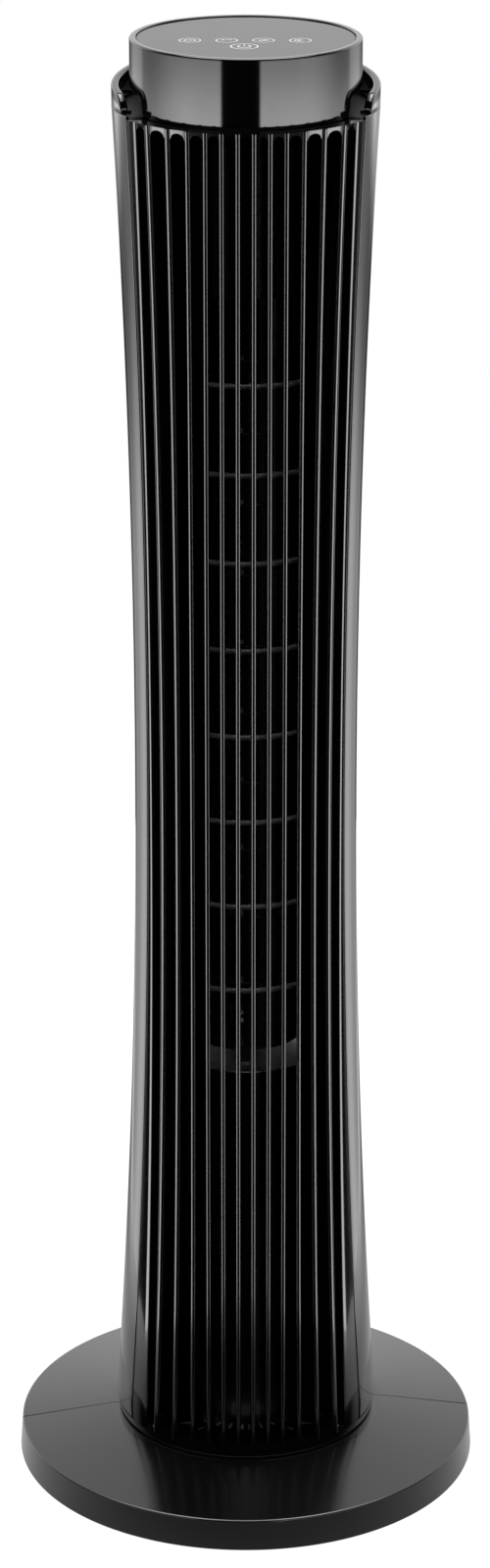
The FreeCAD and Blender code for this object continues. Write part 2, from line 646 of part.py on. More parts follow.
def air_drive():
    at_wheel = WHEEL_AXIS
    bracket, _ = cross_plate("motor_bracket", LOWER_BRACKET_BOTTOM, D.bracket_wall)
    bolt_circle = D.motor_radius + D.motor_bolt_step
    motor_bolts = [polar(bolt_circle, angle) for angle in (30, 150, 270)]
    holes = [Circle(u, v + D.wheel_offset, 2 + SCREW_GAP) for u, v in motor_bolts]
    bracket.cut([Circle(0, D.wheel_offset, D.hub_sleeve + 4)] + holes, LOWER_BRACKET_BOTTOM - 1,
                D.bracket_wall + 2)
    upper, _ = cross_plate("top_bearing_bracket", UPPER_BRACKET_BOTTOM, D.bracket_wall)
    upper.cut([Circle(0, D.wheel_offset, 12)], UPPER_BRACKET_BOTTOM - 1, D.bracket_wall + 2)

    rubber = Piece("bearing_rubber", at_wheel)
    rubber.turned([(7, UPPER_BRACKET_BOTTOM - 1.5), (14, UPPER_BRACKET_BOTTOM - 1.5),
                   (14, UPPER_BRACKET_BOTTOM), (12, UPPER_BRACKET_BOTTOM), (12, UPPER_BRACKET_TOP),
                   (14, UPPER_BRACKET_TOP), (14, UPPER_BRACKET_TOP + 1.5), (7, UPPER_BRACKET_TOP + 1.5)])
    bush = Piece("bearing_bush", at_wheel)
    bush.turned(rectangle(D.pin_radius + D.run_gap, UPPER_BRACKET_BOTTOM - 1.5, 7,
                          UPPER_BRACKET_TOP + 1.5))
    pin = Piece("top_pin", at_wheel)
    pin.turned(rectangle(0, WHEEL_TOP - D.wheel_end_wall, D.pin_radius, UPPER_BRACKET_TOP + 4))

    def guide(name, radius, start, stop, mouth_u, mouth_v):
        """An air guide: an arc about the wheel, then straight to the edge of the outlet window."""
        inner = radius - D.scroll_wall
        middle = (start + stop) / 2
        inwards = D.scroll_wall if mouth_u.value < 0 else -D.scroll_wall
        wall = Piece(name, at_wheel)
        wall.pad([[(mouth_u, mouth_v), polar(radius, start), Via(*polar(radius, middle)),
                   polar(radius, stop), polar(inner, stop), Via(*polar(inner, middle)),
                   polar(inner, start), (mouth_u + inwards, mouth_v)]],
                 LOWER_BRACKET_TOP, UPPER_BRACKET_BOTTOM - LOWER_BRACKET_TOP)

    inset = D.grille_depth + D.duct_wall + SCREW_GAP + 0.3

    def behind_wall(place):
        reach = D.waist_radius - inset
        return -(reach * reach - place * place).sqrt() - D.wheel_offset

    left = D.window_left - D.scroll_wall
    right = D.window_right + D.scroll_wall
    past_wheel = D.wheel_radius + D.scroll_clearance
    past_screws = bolt_circle + D.motor_screw_head + D.scroll_bolt_gap + D.scroll_wall
    scroll_radius = past_wheel if past_wheel.value > past_screws.value else past_screws
    guide("air_scroll", scroll_radius, 215, 140, left, behind_wall(left))
    guide("vortex_tongue", D.wheel_radius + D.tongue_clearance, -28, 20, right, behind_wall(right))

    case = Piece("motor_case", at_wheel)
    skin, bearing, edge = D.motor_skin, D.motor_bearing_radius, D.motor_radius
    flange = edge + D.motor_flange_width
    case.turned([(bearing, MOTOR_BOTTOM), (edge, MOTOR_BOTTOM), (edge, MOTOR_TOP - 2),
                 (flange, MOTOR_TOP - 2), (flange, MOTOR_TOP), (bearing, MOTOR_TOP),
                 (bearing, MOTOR_TOP - skin), (edge - skin, MOTOR_TOP - skin),
                 (edge - skin, MOTOR_BOTTOM + skin), (bearing, MOTOR_BOTTOM + skin)])
    case.cut([Circle(u, v, 2 + SCREW_GAP) for u, v in motor_bolts], MOTOR_TOP - 3, 4)
    stator = Piece("motor_stator", at_wheel)
    stator.turned(rectangle(D.stator_bore, MOTOR_BOTTOM + 10, edge - skin - SCREW_GAP, MOTOR_TOP - 10))
    slot = stator.cut([rectangle(D.stator_bore - 1, -1.5, D.stator_bore + 8, 1.5)], MOTOR_BOTTOM + 9,
                      D.motor_height)
    stator.around(slot, 12)
    core = Piece("motor_rotor", at_wheel)
    core.turned(rectangle(D.shaft_radius, MOTOR_BOTTOM + 12, D.stator_bore - D.rotor_air_gap,
                          MOTOR_TOP - 12))
    bearings = Piece("motor_bearings", at_wheel)
    for bottom in (MOTOR_BOTTOM - 1, MOTOR_TOP - skin - 2):
        bearings.pad([Circle(0, 0, bearing)], bottom, skin + 3)
    bearings.cut([Circle(0, 0, D.shaft_radius + D.run_gap)], MOTOR_BOTTOM - 2, D.motor_height + 4)
    shaft = Piece("motor_shaft", at_wheel)
    shaft.turned(rectangle(0, MOTOR_BOTTOM - 4, D.shaft_radius, WHEEL_BOTTOM + 6))
    grommets = Piece("motor_grommets", at_wheel)
    grommets.pad([Circle(u, v, 6) for u, v in motor_bolts], MOTOR_TOP, D.grommet_height)
    grommets.cut([Circle(u, v, 2 + SCREW_GAP) for u, v in motor_bolts], MOTOR_TOP - 1,
                 D.grommet_height + 2)
    screws("motor_screws", [(u, v + D.wheel_offset) for u, v in motor_bolts], Size(2), MOTOR_TOP - 4,
           LOWER_BRACKET_TOP, D.motor_screw_head, LOWER_BRACKET_TOP + 2.2)

    sleeve = Piece("wheel_hub", at_wheel)
    sleeve.turned(rectangle(D.shaft_radius, LOWER_BRACKET_TOP + 1, D.hub_sleeve, WHEEL_BOTTOM + 8))
    grub_height = (LOWER_BRACKET_TOP + 1 + WHEEL_BOTTOM) / 2
    sleeve.cut([Circle(0, grub_height, 1.5)], 0, D.hub_sleeve + 1, "YZ_Plane")
    grub = Piece("hub_setscrew", at_wheel)
    grub.pad([Circle(0, grub_height, 1.5)], D.shaft_radius, D.hub_sleeve - D.shaft_radius, "YZ_Plane")
    fan_wheel(at_wheel)


def fan_wheel(at_wheel):
    """A cross-flow wheel: two end discs, rings between them, and curved blades all the way up."""
    wheel = Piece("fan_wheel", at_wheel)
    edge, end = D.wheel_radius, D.wheel_end_wall
    wheel.turned(rectangle(D.hub_sleeve, WHEEL_BOTTOM, edge, WHEEL_BOTTOM + end))
    tip, root = edge - 0.4, edge - D.blade_depth
    lean, width = 17, D.blade_wall
    middle = (tip + root) / 2
    blade = wheel.pad([[(root, 0), Via(middle, -1.5), polar(tip, lean - 10),
                        polar(tip, lean - 10 + 2), Via(middle, width - 1.5), (root, width)]],
                      WHEEL_BOTTOM + 1, WHEEL_TOP - WHEEL_BOTTOM - 2)
    wheel.around(blade, 28)
    wheel.turned(rectangle(D.pin_radius, WHEEL_TOP - end, edge, WHEEL_TOP))
    gap = (WHEEL_TOP - WHEEL_BOTTOM) / (D.wheel_rings + 1)
    ring = wheel.turned(rectangle(root - 0.5, WHEEL_BOTTOM + gap, edge,
                                  WHEEL_BOTTOM + gap + D.wheel_ring_wall))
    wheel.upwards(ring, D.wheel_rings, gap * (D.wheel_rings - 1))


# ---- electrics ----

def electrics():
    half, plane = D.board_wide / 2, D.board_plane
    low, high = D.board_low - 10, D.board_low + D.board_tall + 5
    leg = half + 17
    tray = Piece("board_bracket")
    tray.pad([[(-leg, FLOOR_TOP), (-leg + 8, FLOOR_TOP), (-leg + 8, low), (leg - 8, low),
               (leg - 8, FLOOR_TOP), (leg, FLOOR_TOP), (leg, high), (-leg, high)]], -(plane + 3), 3,
             "XZ_Plane")
    board = Piece("power_board")
    board.pad([rectangle(-half, D.board_low, half, D.board_low + D.board_tall)], -plane, D.board_wall,
              "XZ_Plane")
    can = Piece("run_capacitor", (20, plane + 3 + D.capacitor_radius, 0))
    can.pad([Circle(0, 0, D.capacitor_radius)], D.board_low + 20, D.capacitor_height)


# ---- head ----

def head():
    deck, neck_outer = cross_plate("top_deck", DECK_BOTTOM, D.wall)
    neck_inner = neck_outer - D.neck_wall
    deck.turned(rectangle(neck_inner, DECK_TOP - 1, neck_outer, HEAD_BOTTOM))
    screw_circle = neck_inner - 2.5
    places = [polar(screw_circle, angle) for angle in (0, 90, 180, 270)]
    deck.pad([Circle(u, v, 4.5) for u, v in places], DECK_TOP - 1, D.neck_height + 1)
    deck.cut([Circle(u, v, 1.75 + SCREW_GAP) for u, v in places], HEAD_BOTTOM - 14, 15)

    edge, top = HEAD_RADIUS, D.total_height
    inside = edge - D.head_wall
    ring_inner = screw_circle - 5
    floor = HEAD_BOTTOM + D.wall
    rim, seat = edge - D.rim_width, edge - D.rim_width - 2.6
    soft = D.rim_round
    shell = Piece("head_shell")
    shell.turned([(edge, HEAD_BOTTOM), (edge, top - soft),
                  Via(edge - soft * (1 - math.sqrt(0.5)), top - soft * (1 - math.sqrt(0.5))),
                  (edge - soft, top), (rim, top), (rim, PANEL_SEAT), (seat, PANEL_SEAT),
                  (seat, PANEL_SEAT - 2), (inside, PANEL_SEAT - 2), (inside, floor), (ring_inner, floor),
                  (ring_inner, HEAD_BOTTOM)])
    shell.turned(rectangle(-edge, DECK_TOP + D.apron_gap, -inside, HEAD_BOTTOM + 1),
                 D.apron_half_angle * 2)
    board_bottom = PANEL_SEAT - 11
    posts = [polar(screw_circle + 3, angle) for angle in (45, 135, 225, 315)]
    shell.pad([Circle(u, v, 3) for u, v in posts], floor - 1, board_bottom - floor + 1)
    shell.cut([Circle(u, v, 1.75 + SCREW_GAP) for u, v in places], HEAD_BOTTOM - 1, D.wall + 2)
    screws("head_screws", places, Size(1.75), HEAD_BOTTOM - 12, floor, Size(3.2), floor + 2.4)

    panel = Piece("control_panel")
    panel.pad([Circle(0, 0, rim - D.panel_gap)], PANEL_SEAT, D.panel_wall)
    board = Piece("control_board")
    board.pad([Circle(0, 0, seat - 0.5)], board_bottom, D.board_wall)
    board_top = board_bottom + D.board_wall
    icons = [(D.icon_pitch * step, D.icon_row) for step in (-1.5, -0.5, 0.5, 1.5)]
    icons.append((0, D.power_icon_row))
    pads = Piece("touch_pads")
    pads.pad([Circle(u, v, D.touch_pad_radius) for u, v in icons], board_top, PANEL_SEAT - board_top)
    buzzer = Piece("buzzer", (30, 25, 0))
    buzzer.pad([Circle(0, 0, 6)], board_top, 7)


def fasteners_of_plates():
    """The screws that hold the three cross plates down on the housing's bosses."""
    group = []
    for top, plate in zip(BOSS_TOPS, (D.bracket_wall, D.bracket_wall, D.wall)):
        for u, v in boss_places(top):
            for radius, bottom, height in ((Size(1.5), top - 10, plate + 10), (Size(2.9), top + plate, 2)):
                rod = DOC.addObject("Part::Cylinder", "plate_screw")
                bind(rod, "Radius", radius)
                bind(rod, "Height", height)
                for axis, size in zip("xyz", (u, v, bottom)):
                    bind(rod, "Placement.Base." + axis, size)
                group.append(rod)
    fused = []
    for shank, cap in zip(group[::2], group[1::2]):
        screw = DOC.addObject("Part::Fuse", "plate_screw")
        screw.Base, screw.Tool = shank, cap
        fused.append(screw)
    compound = DOC.addObject("Part::Compound", "housing_screws")
    compound.Links = fused
    NODES["housing_screws"] = compound


def check_document():
    """Stop if anything failed to compute, or if a cut or groove took nothing away."""
    for thing in DOC.Objects:
        if "Invalid" in thing.State or "Error" in thing.State:
            raise RuntimeError("%s failed: %s" % (thing.Name, thing.State))
        if thing.TypeId in ("PartDesign::Pocket", "PartDesign::Groove"):
            if thing.BaseFeature.Shape.Volume - thing.Shape.Volume < 1e-3:
                raise RuntimeError("%s cuts nothing" % thing.Name)
    for name, thing in NODES.items():
        if thing.Shape.isNull() or not thing.Shape.isValid() or not thing.Shape.Solids:
            raise RuntimeError("%s has no valid solid" % name)


def main():
    stand()
    oscillation()
    shells()
    air_drive()
    electrics()
    head()
    fasteners_of_plates()
    DOC.recompute()
    check_document()
    os.makedirs("parts", exist_ok=True)
    for name, thing in NODES.items():
        thing.Label = name
        thing.Shape.exportStep(os.path.join("parts", name + ".step"))
        print("%-22s %2d solids %10.0f mm3" % (name, len(thing.Shape.Solids), thing.Shape.Volume))


main()
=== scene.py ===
# %% [markdown]
# A tower fan is a tall plastic shell round a long, thin blower. The solid model behind this scene already
# holds every screw, gear and shaft in its place. This lesson gives it its looks: smooth shells in place
# of the faceted ones, finishes worked out from noise and waves, and a small photo studio.
# Lengths are metres, +Z is up and the front of the fan faces -Y.

# %% Load the fixed model
import json
import math

import bmesh
import bpy
import numpy as np
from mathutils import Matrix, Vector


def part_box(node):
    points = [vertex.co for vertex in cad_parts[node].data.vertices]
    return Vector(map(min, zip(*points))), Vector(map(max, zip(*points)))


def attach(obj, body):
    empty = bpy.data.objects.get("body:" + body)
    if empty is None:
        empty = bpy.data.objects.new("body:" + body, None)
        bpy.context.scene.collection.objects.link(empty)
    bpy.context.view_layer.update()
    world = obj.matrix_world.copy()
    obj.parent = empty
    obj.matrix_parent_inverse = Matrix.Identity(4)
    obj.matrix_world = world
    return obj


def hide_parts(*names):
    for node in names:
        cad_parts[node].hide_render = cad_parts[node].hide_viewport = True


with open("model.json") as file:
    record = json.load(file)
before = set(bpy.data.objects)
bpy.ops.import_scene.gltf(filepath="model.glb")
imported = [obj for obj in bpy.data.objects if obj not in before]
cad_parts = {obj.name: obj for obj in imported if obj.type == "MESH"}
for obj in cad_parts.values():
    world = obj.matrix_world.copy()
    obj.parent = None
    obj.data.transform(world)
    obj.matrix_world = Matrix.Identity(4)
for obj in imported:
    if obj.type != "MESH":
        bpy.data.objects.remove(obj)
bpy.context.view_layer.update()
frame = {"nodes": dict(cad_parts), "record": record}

print("CAD nodes:", len(frame["nodes"]))

# %% [markdown]
# Every new piece takes its place from the solid model's boxes, so that both stay in step when the model
# changes.

# %% Sizes that come from the model
def low_high(node):
    """Lowest and highest corner of a node as two arrays."""
    low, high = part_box(node)
    return np.array(low), np.array(high)


BASE_LOW, BASE_HIGH = low_high("base_front_half")
FOOT_LOW, FOOT_HIGH = low_high("column_foot")
GRILLE_LOW, GRILLE_HIGH = low_high("front_grille")
HEAD_LOW, HEAD_HIGH = low_high("head_shell")
PANEL_LOW, PANEL_HIGH = low_high("control_panel")
INTAKE_LOW, INTAKE_HIGH = low_high("rear_grille")
DECK_LOW, DECK_HIGH = low_high("top_deck")

BODY_BOTTOM, DECK_TOP = GRILLE_LOW[2], GRILLE_HIGH[2]
HOUSING_TOP = low_high("rear_housing")[1][2]
HEAD_BOTTOM = DECK_HIGH[2]
HEAD_RADIUS = HEAD_HIGH[0]
print("body from", BODY_BOTTOM, "to", DECK_TOP, "head radius", HEAD_RADIUS)

# %% [markdown]
# The column is waisted: its side is one long arc below the waist and another above, and both stand
# upright where they meet. It could be modelled as a stretched cylinder with a Lattice, but then no other
# piece could ask it for its size. The plan is a circle at every height, so one function of the height
# gives the whole skin, and every later piece calls it.

# %% The column's radius
WAIST_HEIGHT = 0.510
WAIST_RADIUS = 0.0727
LOWER_CURVE, UPPER_CURVE = 6.825, 8.148
KNEE = BODY_BOTTOM + 0.012
BAND_RADIUS = FOOT_HIGH[0]
FRONT_HALF = math.radians(62)


def column_radius(z, inset=0.0):
    """Waist radius plus the sagitta of the long arc at this height, less the inset.
    Below the knee the radius runs straight down to the foot band's."""
    z = np.asarray(z, float)
    curve = np.where(z < WAIST_HEIGHT, LOWER_CURVE, UPPER_CURVE)
    rise = np.maximum(z, KNEE) - WAIST_HEIGHT
    radius = WAIST_RADIUS + curve - np.sqrt(curve ** 2 - rise ** 2)
    tuck = np.clip((KNEE - z) / (KNEE - BODY_BOTTOM), 0, 1) ** 2
    knee_radius = WAIST_RADIUS + LOWER_CURVE - math.sqrt(LOWER_CURVE ** 2 - (KNEE - WAIST_HEIGHT) ** 2)
    return radius - tuck * (knee_radius - BAND_RADIUS) - inset


# %% [markdown]
# Three helpers make every mesh. The first turns arrays of points and faces into an object. The second
# turns an outline round an axis, like a lathe. The third gives thickness to a surface that is a grid with
# windows in it: it joins the front grid, the back grid and the walls between them round every opening, so
# the result is one closed skin.

# %% Mesh helpers
def add_mesh(name, points, faces, finish, body, smooth_angle=40, soft=0.0, steps=3):
    """Make an object from a point array and a list of face arrays, drop unused points, soften edges
    by a bevel of the given width, and let it ride on a body."""
    faces = [np.asarray(block) for block in faces if len(block)]
    used = np.unique(np.concatenate([block.ravel() for block in faces]))
    renumber = np.zeros(len(points), int)
    renumber[used] = np.arange(len(used))
    mesh = bpy.data.meshes.new(name)
    polygons = [row for block in faces for row in renumber[block].tolist()]
    mesh.from_pydata(points[used].tolist(), [], polygons)
    work = bmesh.new()
    work.from_mesh(mesh)
    bmesh.ops.remove_doubles(work, verts=work.verts, dist=1e-6)
    bmesh.ops.dissolve_degenerate(work, edges=work.edges, dist=1e-6)
    work.to_mesh(mesh)
    work.free()
    mesh.materials.append(finish)
    piece = bpy.data.objects.new(name, mesh)
    bpy.context.scene.collection.objects.link(piece)
    if soft:
        bevel = piece.modifiers.new("soft_edges", "BEVEL")
        bevel.width = soft
        bevel.segments = steps
        bevel.limit_method = "ANGLE"
        bevel.angle_limit = math.radians(50)
        bevel.use_clamp_overlap = True
        bevel.harden_normals = True
        bevel.miter_outer = "MITER_ARC"
    mesh.shade_smooth()
    mesh.set_sharp_from_angle(angle=math.radians(smooth_angle))
    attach(piece, body)
    print(name, len(mesh.vertices), "points", len(mesh.polygons), "faces")
    return piece


def grid_numbers(rows, columns, close_rows=False, close_columns=False):
    """Point numbers of a rows by columns grid, row by row; closing repeats the first row or column."""
    numbers = np.arange(rows * columns).reshape(rows, columns)
    if close_columns:
        numbers = np.hstack([numbers, numbers[:, :1]])
    if close_rows:
        numbers = np.vstack([numbers, numbers[:1]])
    return numbers


def grid_quads(numbers, flip=False):
    """The four point numbers round each cell of a grid, anticlockwise, or clockwise if flipped."""
    corners = [numbers[:-1, :-1], numbers[:-1, 1:], numbers[1:, 1:], numbers[1:, :-1]]
    if flip:
        corners = [corners[0], corners[3], corners[2], corners[1]]
    return np.stack(corners, -1)


def held(outline, hold=0.0005):
    """Add a point shortly before and after each corner on long edges of a closed outline. Shading
    blends the normals of neighbouring faces, so without them a small rounding would bend the
    reflections of the whole flat face beside it."""
    outline = np.asarray(outline, float)
    points = []
    for here, there in zip(outline, np.roll(outline, -1, 0)):
        points.append(here)
        length = np.linalg.norm(there - here)
        if length > 4 * hold:
            step = (there - here) / length * hold
            points += [here + step, there - step]
    return np.array(points)


def lathe(outline, turns=256, start=0.0, sweep=2 * math.pi, centre=(0, 0)):
    """Turn a closed outline of (radius, height) about the vertical through the centre.
    Each point is (radius cos a, radius sin a, height) for angles a from start over the sweep;
    a part turn gets a flat cap at each end."""
    outline = held(outline)
    full = sweep > 2 * math.pi - 1e-6
    angles = start + np.linspace(0, sweep, turns + 1)[:turns if full else None]
    radius, height = outline[:, 0], outline[:, 1]
    points = np.stack([radius[None] * np.cos(angles)[:, None] + centre[0],
                       radius[None] * np.sin(angles)[:, None] + centre[1],
                       np.broadcast_to(height, (len(angles), len(height)))], -1)
    numbers = grid_numbers(len(angles), len(outline), close_rows=full, close_columns=True)
    faces = [grid_quads(numbers, flip=True).reshape(-1, 4)]
    if not full:
        faces.append(numbers[:1, :-1])
        faces.append(numbers[-1:, :-1][:, ::-1])
    return points.reshape(-1, 3), faces


def walled(front, back, solid):
    """Close a grid surface with windows. front and back are (rows, columns, 3) points, solid says
    which quads exist. Walls join the two where a solid quad meets an opening or the border."""
    rows, columns = front.shape[:2]
    number = grid_numbers(rows, columns)
    shift = rows * columns
    quads = grid_quads(number)[solid]
    edged = np.pad(solid, 1)
    inner = edged[1:-1, 1:-1]
    walls = []
    for open_side, first, second in ((~edged[:-2, 1:-1] & inner, number[:-1, :-1], number[:-1, 1:]),
                                     (~edged[2:, 1:-1] & inner, number[1:, 1:], number[1:, :-1]),
                                     (~edged[1:-1, :-2] & inner, number[1:, :-1], number[:-1, :-1]),
                                     (~edged[1:-1, 2:] & inner, number[:-1, 1:], number[1:, 1:])):
        a, b = first[open_side], second[open_side]
        walls.append(np.stack([b, a, a + shift, b + shift], -1))
    points = np.concatenate([front.reshape(-1, 3), back.reshape(-1, 3)])
    return points, [quads, quads[:, ::-1] + shift] + walls


def rounded(corners, radii, steps=5):
    """Replace each corner of a closed outline by an arc of its radius: a quadratic curve from the
    point one radius before the corner, through its pull, to one radius after."""
    corners = np.asarray(corners, float)
    before, after = np.roll(corners, 1, 0), np.roll(corners, -1, 0)
    points = []
    for corner, back, ahead, radius in zip(corners, before, after, radii):
        if not radius:
            points.append(corner)
            continue
        into = corner + (back - corner) / np.linalg.norm(back - corner) * radius
        out = corner + (ahead - corner) / np.linalg.norm(ahead - corner) * radius
        bend = math.sqrt(0.5)
        for t in np.linspace(0, 1, steps):
            weights = np.array([(1 - t) ** 2, 2 * t * (1 - t) * bend, t * t])
            points.append((weights[0] * into + weights[1] * corner + weights[2] * out) / weights.sum())
    return np.array(points)


# %% [markdown]
# A finish is a graph of shader nodes. Written as wires it is hard to read, so one small class wraps a
# socket and lets Python's own + - * / build the Math nodes. Colours go through Mix nodes instead,
# because a Math node would turn them grey.

# %% Shader maths
class Wire:
    """One output socket of a shader graph; arithmetic on it adds Math nodes."""

    def __init__(self, finish, socket):
        self.finish, self.socket = finish, socket

    def _math(self, operation, *values):
        return self.finish.node("ShaderNodeMath", {"operation": operation}, dict(enumerate(values)))

    def __add__(self, other):
        return self._math("ADD", self, other)

    def __sub__(self, other):
        return self._math("SUBTRACT", self, other)

    def __rsub__(self, other):
        return self._math("SUBTRACT", other, self)

    def __mul__(self, other):
        return self._math("MULTIPLY", self, other)

    __radd__ = __add__
    __rmul__ = __mul__

    def ramp(self, start, stop, low=0.0, high=1.0):
        """Rise smoothly from low to high as this goes from start to stop."""
        return self.finish.node("ShaderNodeMapRange", {"interpolation_type": "SMOOTHSTEP"},
                                {0: self, 1: start, 2: stop, 3: low, 4: high})


class Graph:
    """A shader graph that grows a node at a time."""

    def __init__(self, tree):
        self.tree = tree

    def node(self, kind, settings=None, inputs=None, output=0):
        """Add any node: its settings first, then the values or wires of its sockets."""
        made = self.tree.nodes.new(kind)
        for key, value in (settings or {}).items():
            setattr(made, key, value)
        for key, value in (inputs or {}).items():
            if isinstance(value, Wire):
                self.tree.links.new(value.socket, made.inputs[key])
            else:
                made.inputs[key].default_value = value
        return Wire(self, made.outputs[output] if len(made.outputs) else None)


class Finish(Graph):
    """A procedural material with one Principled shader."""

    def __init__(self, name, color, roughness, metallic=0.0, coat=0.0, coat_roughness=0.03):
        self.material = bpy.data.materials.new(name)
        self.material.use_nodes = True
        self.material.diffuse_color = (*color, 1)
        super().__init__(self.material.node_tree)
        self.shader = self.tree.nodes["Principled BSDF"]
        for key, value in (("Base Color", (*color, 1)), ("Roughness", roughness),
                           ("Metallic", metallic), ("Coat Weight", coat),
                           ("Coat Roughness", coat_roughness)):
            self.shader.inputs[key].default_value = value

    def place(self, scale=(1, 1, 1), turn=(0, 0, 0), shift=(0, 0, 0)):
        """Object coordinates, moved, turned and scaled."""
        spot = self.node("ShaderNodeTexCoord", output="Object")
        return self.node("ShaderNodeMapping", {}, {0: spot, 1: shift, 2: turn, 3: scale})

    def noise(self, scale, detail=3.0, rough=0.5, where=None, output=0):
        return self.node("ShaderNodeTexNoise", {}, {"Vector": where or self.place(), "Scale": scale,
                                                    "Detail": detail, "Roughness": rough}, output)

    def mix(self, factor, first, second):
        """Blend two colours."""
        return self.node("ShaderNodeMix", {"data_type": "RGBA"}, {0: factor, 6: first, 7: second}, 2)

    def set(self, socket, wire):
        self.tree.links.new(wire.socket, self.shader.inputs[socket])

    def bump(self, height, distance, strength=1.0):
        """Tilt the surface by a height pattern given in units of distance."""
        bumped = self.node("ShaderNodeBump", {}, {"Strength": strength, "Distance": distance,
                                                  "Height": height})
        self.set("Normal", bumped)


def shade(color, factor):
    return tuple(min(1.0, part * factor) for part in color[:3]) + (1,)


# %% [markdown]
# Polished black plastic is the fan's main finish. The real one is a near-black body under a clear,
# mirror-like surface. What makes it believable is small: a very slight waviness from the mould, faint
# wiping marks that blur the mirror a little, and a few specks of dust. All of it is noise at two scales.

# %% Polished black plastic
def polished_black(name, color, roughness, waviness, coat=0.6):
    """Near-black body with a clear coat; noise varies the roughness and gives the mould's waviness."""
    finish = Finish(name, color, roughness, coat=coat, coat_roughness=0.04)
    wipes = finish.noise(22, 4, 0.6, finish.place(scale=(1, 1, 0.12)))
    haze = finish.noise(6, 2)
    specks = finish.node("ShaderNodeTexVoronoi", {"feature": "F1"},
                         {"Vector": finish.place(), "Scale": 160.0})
    dust = (1 - specks.ramp(0.03, 0.07)) * haze.ramp(0.5, 0.72)
    finish.set("Roughness", wipes.ramp(0.35, 0.75, roughness, roughness + 0.05) + haze * 0.02)
    finish.set("Base Color", finish.mix(dust * 0.35, (*color, 1), (0.08, 0.078, 0.075, 1)))
    finish.bump(finish.noise(9, 2) + finish.noise(45, 2) * 0.15, waviness)
    return finish.material


gloss_shell = polished_black("gloss_shell", (0.0022, 0.0022, 0.0024), 0.07, 0.0001)
grille_plastic = polished_black("grille_plastic", (0.0016, 0.0016, 0.0018), 0.12, 0.0001, coat=0.4)
touch_panel = polished_black("touch_panel", (0.004, 0.004, 0.0043), 0.07, 0.00004, coat=0.0)

# %% [markdown]
# The base is moulded with a slightly satin gloss, so that reflections blur as they leave the foot of the
# column. A bump image would do for the grain, but noise in Object coordinates needs no unwrapping and
# never repeats. The same recipe serves rubber and the inner plastics with a rougher surface.

# %% Satin plastics and rubber
def grained(name, color, roughness, grain, depth, spread=0.06, coat=0.0):
    """Moulded plastic: a fine grain in the bump, a slow change in the roughness and the tone."""
    finish = Finish(name, color, roughness, coat=coat, coat_roughness=0.12)
    slow = finish.noise(7, 3)
    fine = finish.noise(grain, 2, 0.6)
    finish.set("Roughness", slow.ramp(0.3, 0.7, roughness - spread / 2, roughness + spread / 2))
    finish.set("Base Color", finish.mix(slow.ramp(0.35, 0.75), shade(color, 0.9), shade(color, 1.15)))
    finish.bump(fine + slow * 0.4, depth)
    return finish.material


base_plastic = grained("base_plastic", (0.0025, 0.0025, 0.0027), 0.17, 900, 0.000008, coat=0.9)
satin_plastic = grained("satin_plastic", (0.004, 0.004, 0.0043), 0.42, 1500, 0.00003)
wheel_plastic = grained("wheel_plastic", (0.012, 0.012, 0.013), 0.38, 1100, 0.00003)
gear_plastic = grained("gear_plastic", (0.78, 0.76, 0.70), 0.35, 1400, 0.00002)
# Painted highlight: the window bars' light grey stands in for the light they catch inside the dark duct.
bar_plastic_painted_highlight = grained("bar_plastic_painted_highlight", (0.22, 0.22, 0.225), 0.3, 1200, 0.00002)
rubber = grained("rubber", (0.022, 0.022, 0.022), 0.78, 2200, 0.00006, 0.1)
capacitor_sleeve = grained("capacitor_sleeve", (0.05, 0.06, 0.09), 0.3, 500, 0.00002)

# %% [markdown]
# Metals inside: zinc-plated screws, galvanised sheet with its crystal pattern, laminated motor iron,
# sintered bronze and turned aluminium. Each gets the one pattern that a person would recognise it by:
# stretched noise for scratches, Voronoi cells for zinc crystals, a wave for stacked sheets.

# %% Metals
def brushed(name, color, roughness, stretch, depth=0.00001):
    """Fine scratches: noise stretched along one direction, in the roughness and the bump."""
    finish = Finish(name, color, roughness, metallic=1.0)
    lines = finish.noise(60, 3, 0.6, finish.place(scale=stretch))
    finish.set("Roughness", lines.ramp(0.3, 0.7, roughness - 0.08, roughness + 0.1))
    finish.set("Base Color", finish.mix(lines, shade(color, 0.86), shade(color, 1.08)))
    finish.bump(lines, depth)
    return finish.material


def galvanised(name, color):
    """Zinc spangle: a tone for each Voronoi cell, with a little fine noise."""
    finish = Finish(name, color, 0.38, metallic=1.0)
    cells = finish.node("ShaderNodeTexVoronoi", {"feature": "F1"},
                        {"Vector": finish.place(), "Scale": 110.0}, "Color")
    tone = finish.node("ShaderNodeRGBToBW", {}, {0: cells})
    finish.set("Base Color", finish.mix(tone, shade(color, 0.78), shade(color, 1.12)))
    finish.set("Roughness", tone.ramp(0, 1, 0.28, 0.46) + finish.noise(300, 2) * 0.05)
    finish.bump(finish.noise(240, 2), 0.00002)
    return finish.material


def laminated(name, color, sheet):
    """Stacked sheets: a wave up the stack darkens the joints and ripples the surface."""
    finish = Finish(name, color, 0.5, metallic=0.9)
    stack = finish.node("ShaderNodeTexWave", {"wave_type": "BANDS", "bands_direction": "Z"},
                        {"Vector": finish.place(), "Scale": 0.314 / sheet, "Distortion": 0.3})
    height = stack.ramp(0.1, 0.5)
    finish.set("Base Color", finish.mix(height, shade(color, 0.45), (*color, 1)))
    finish.bump(height, 0.00008)
    return finish.material


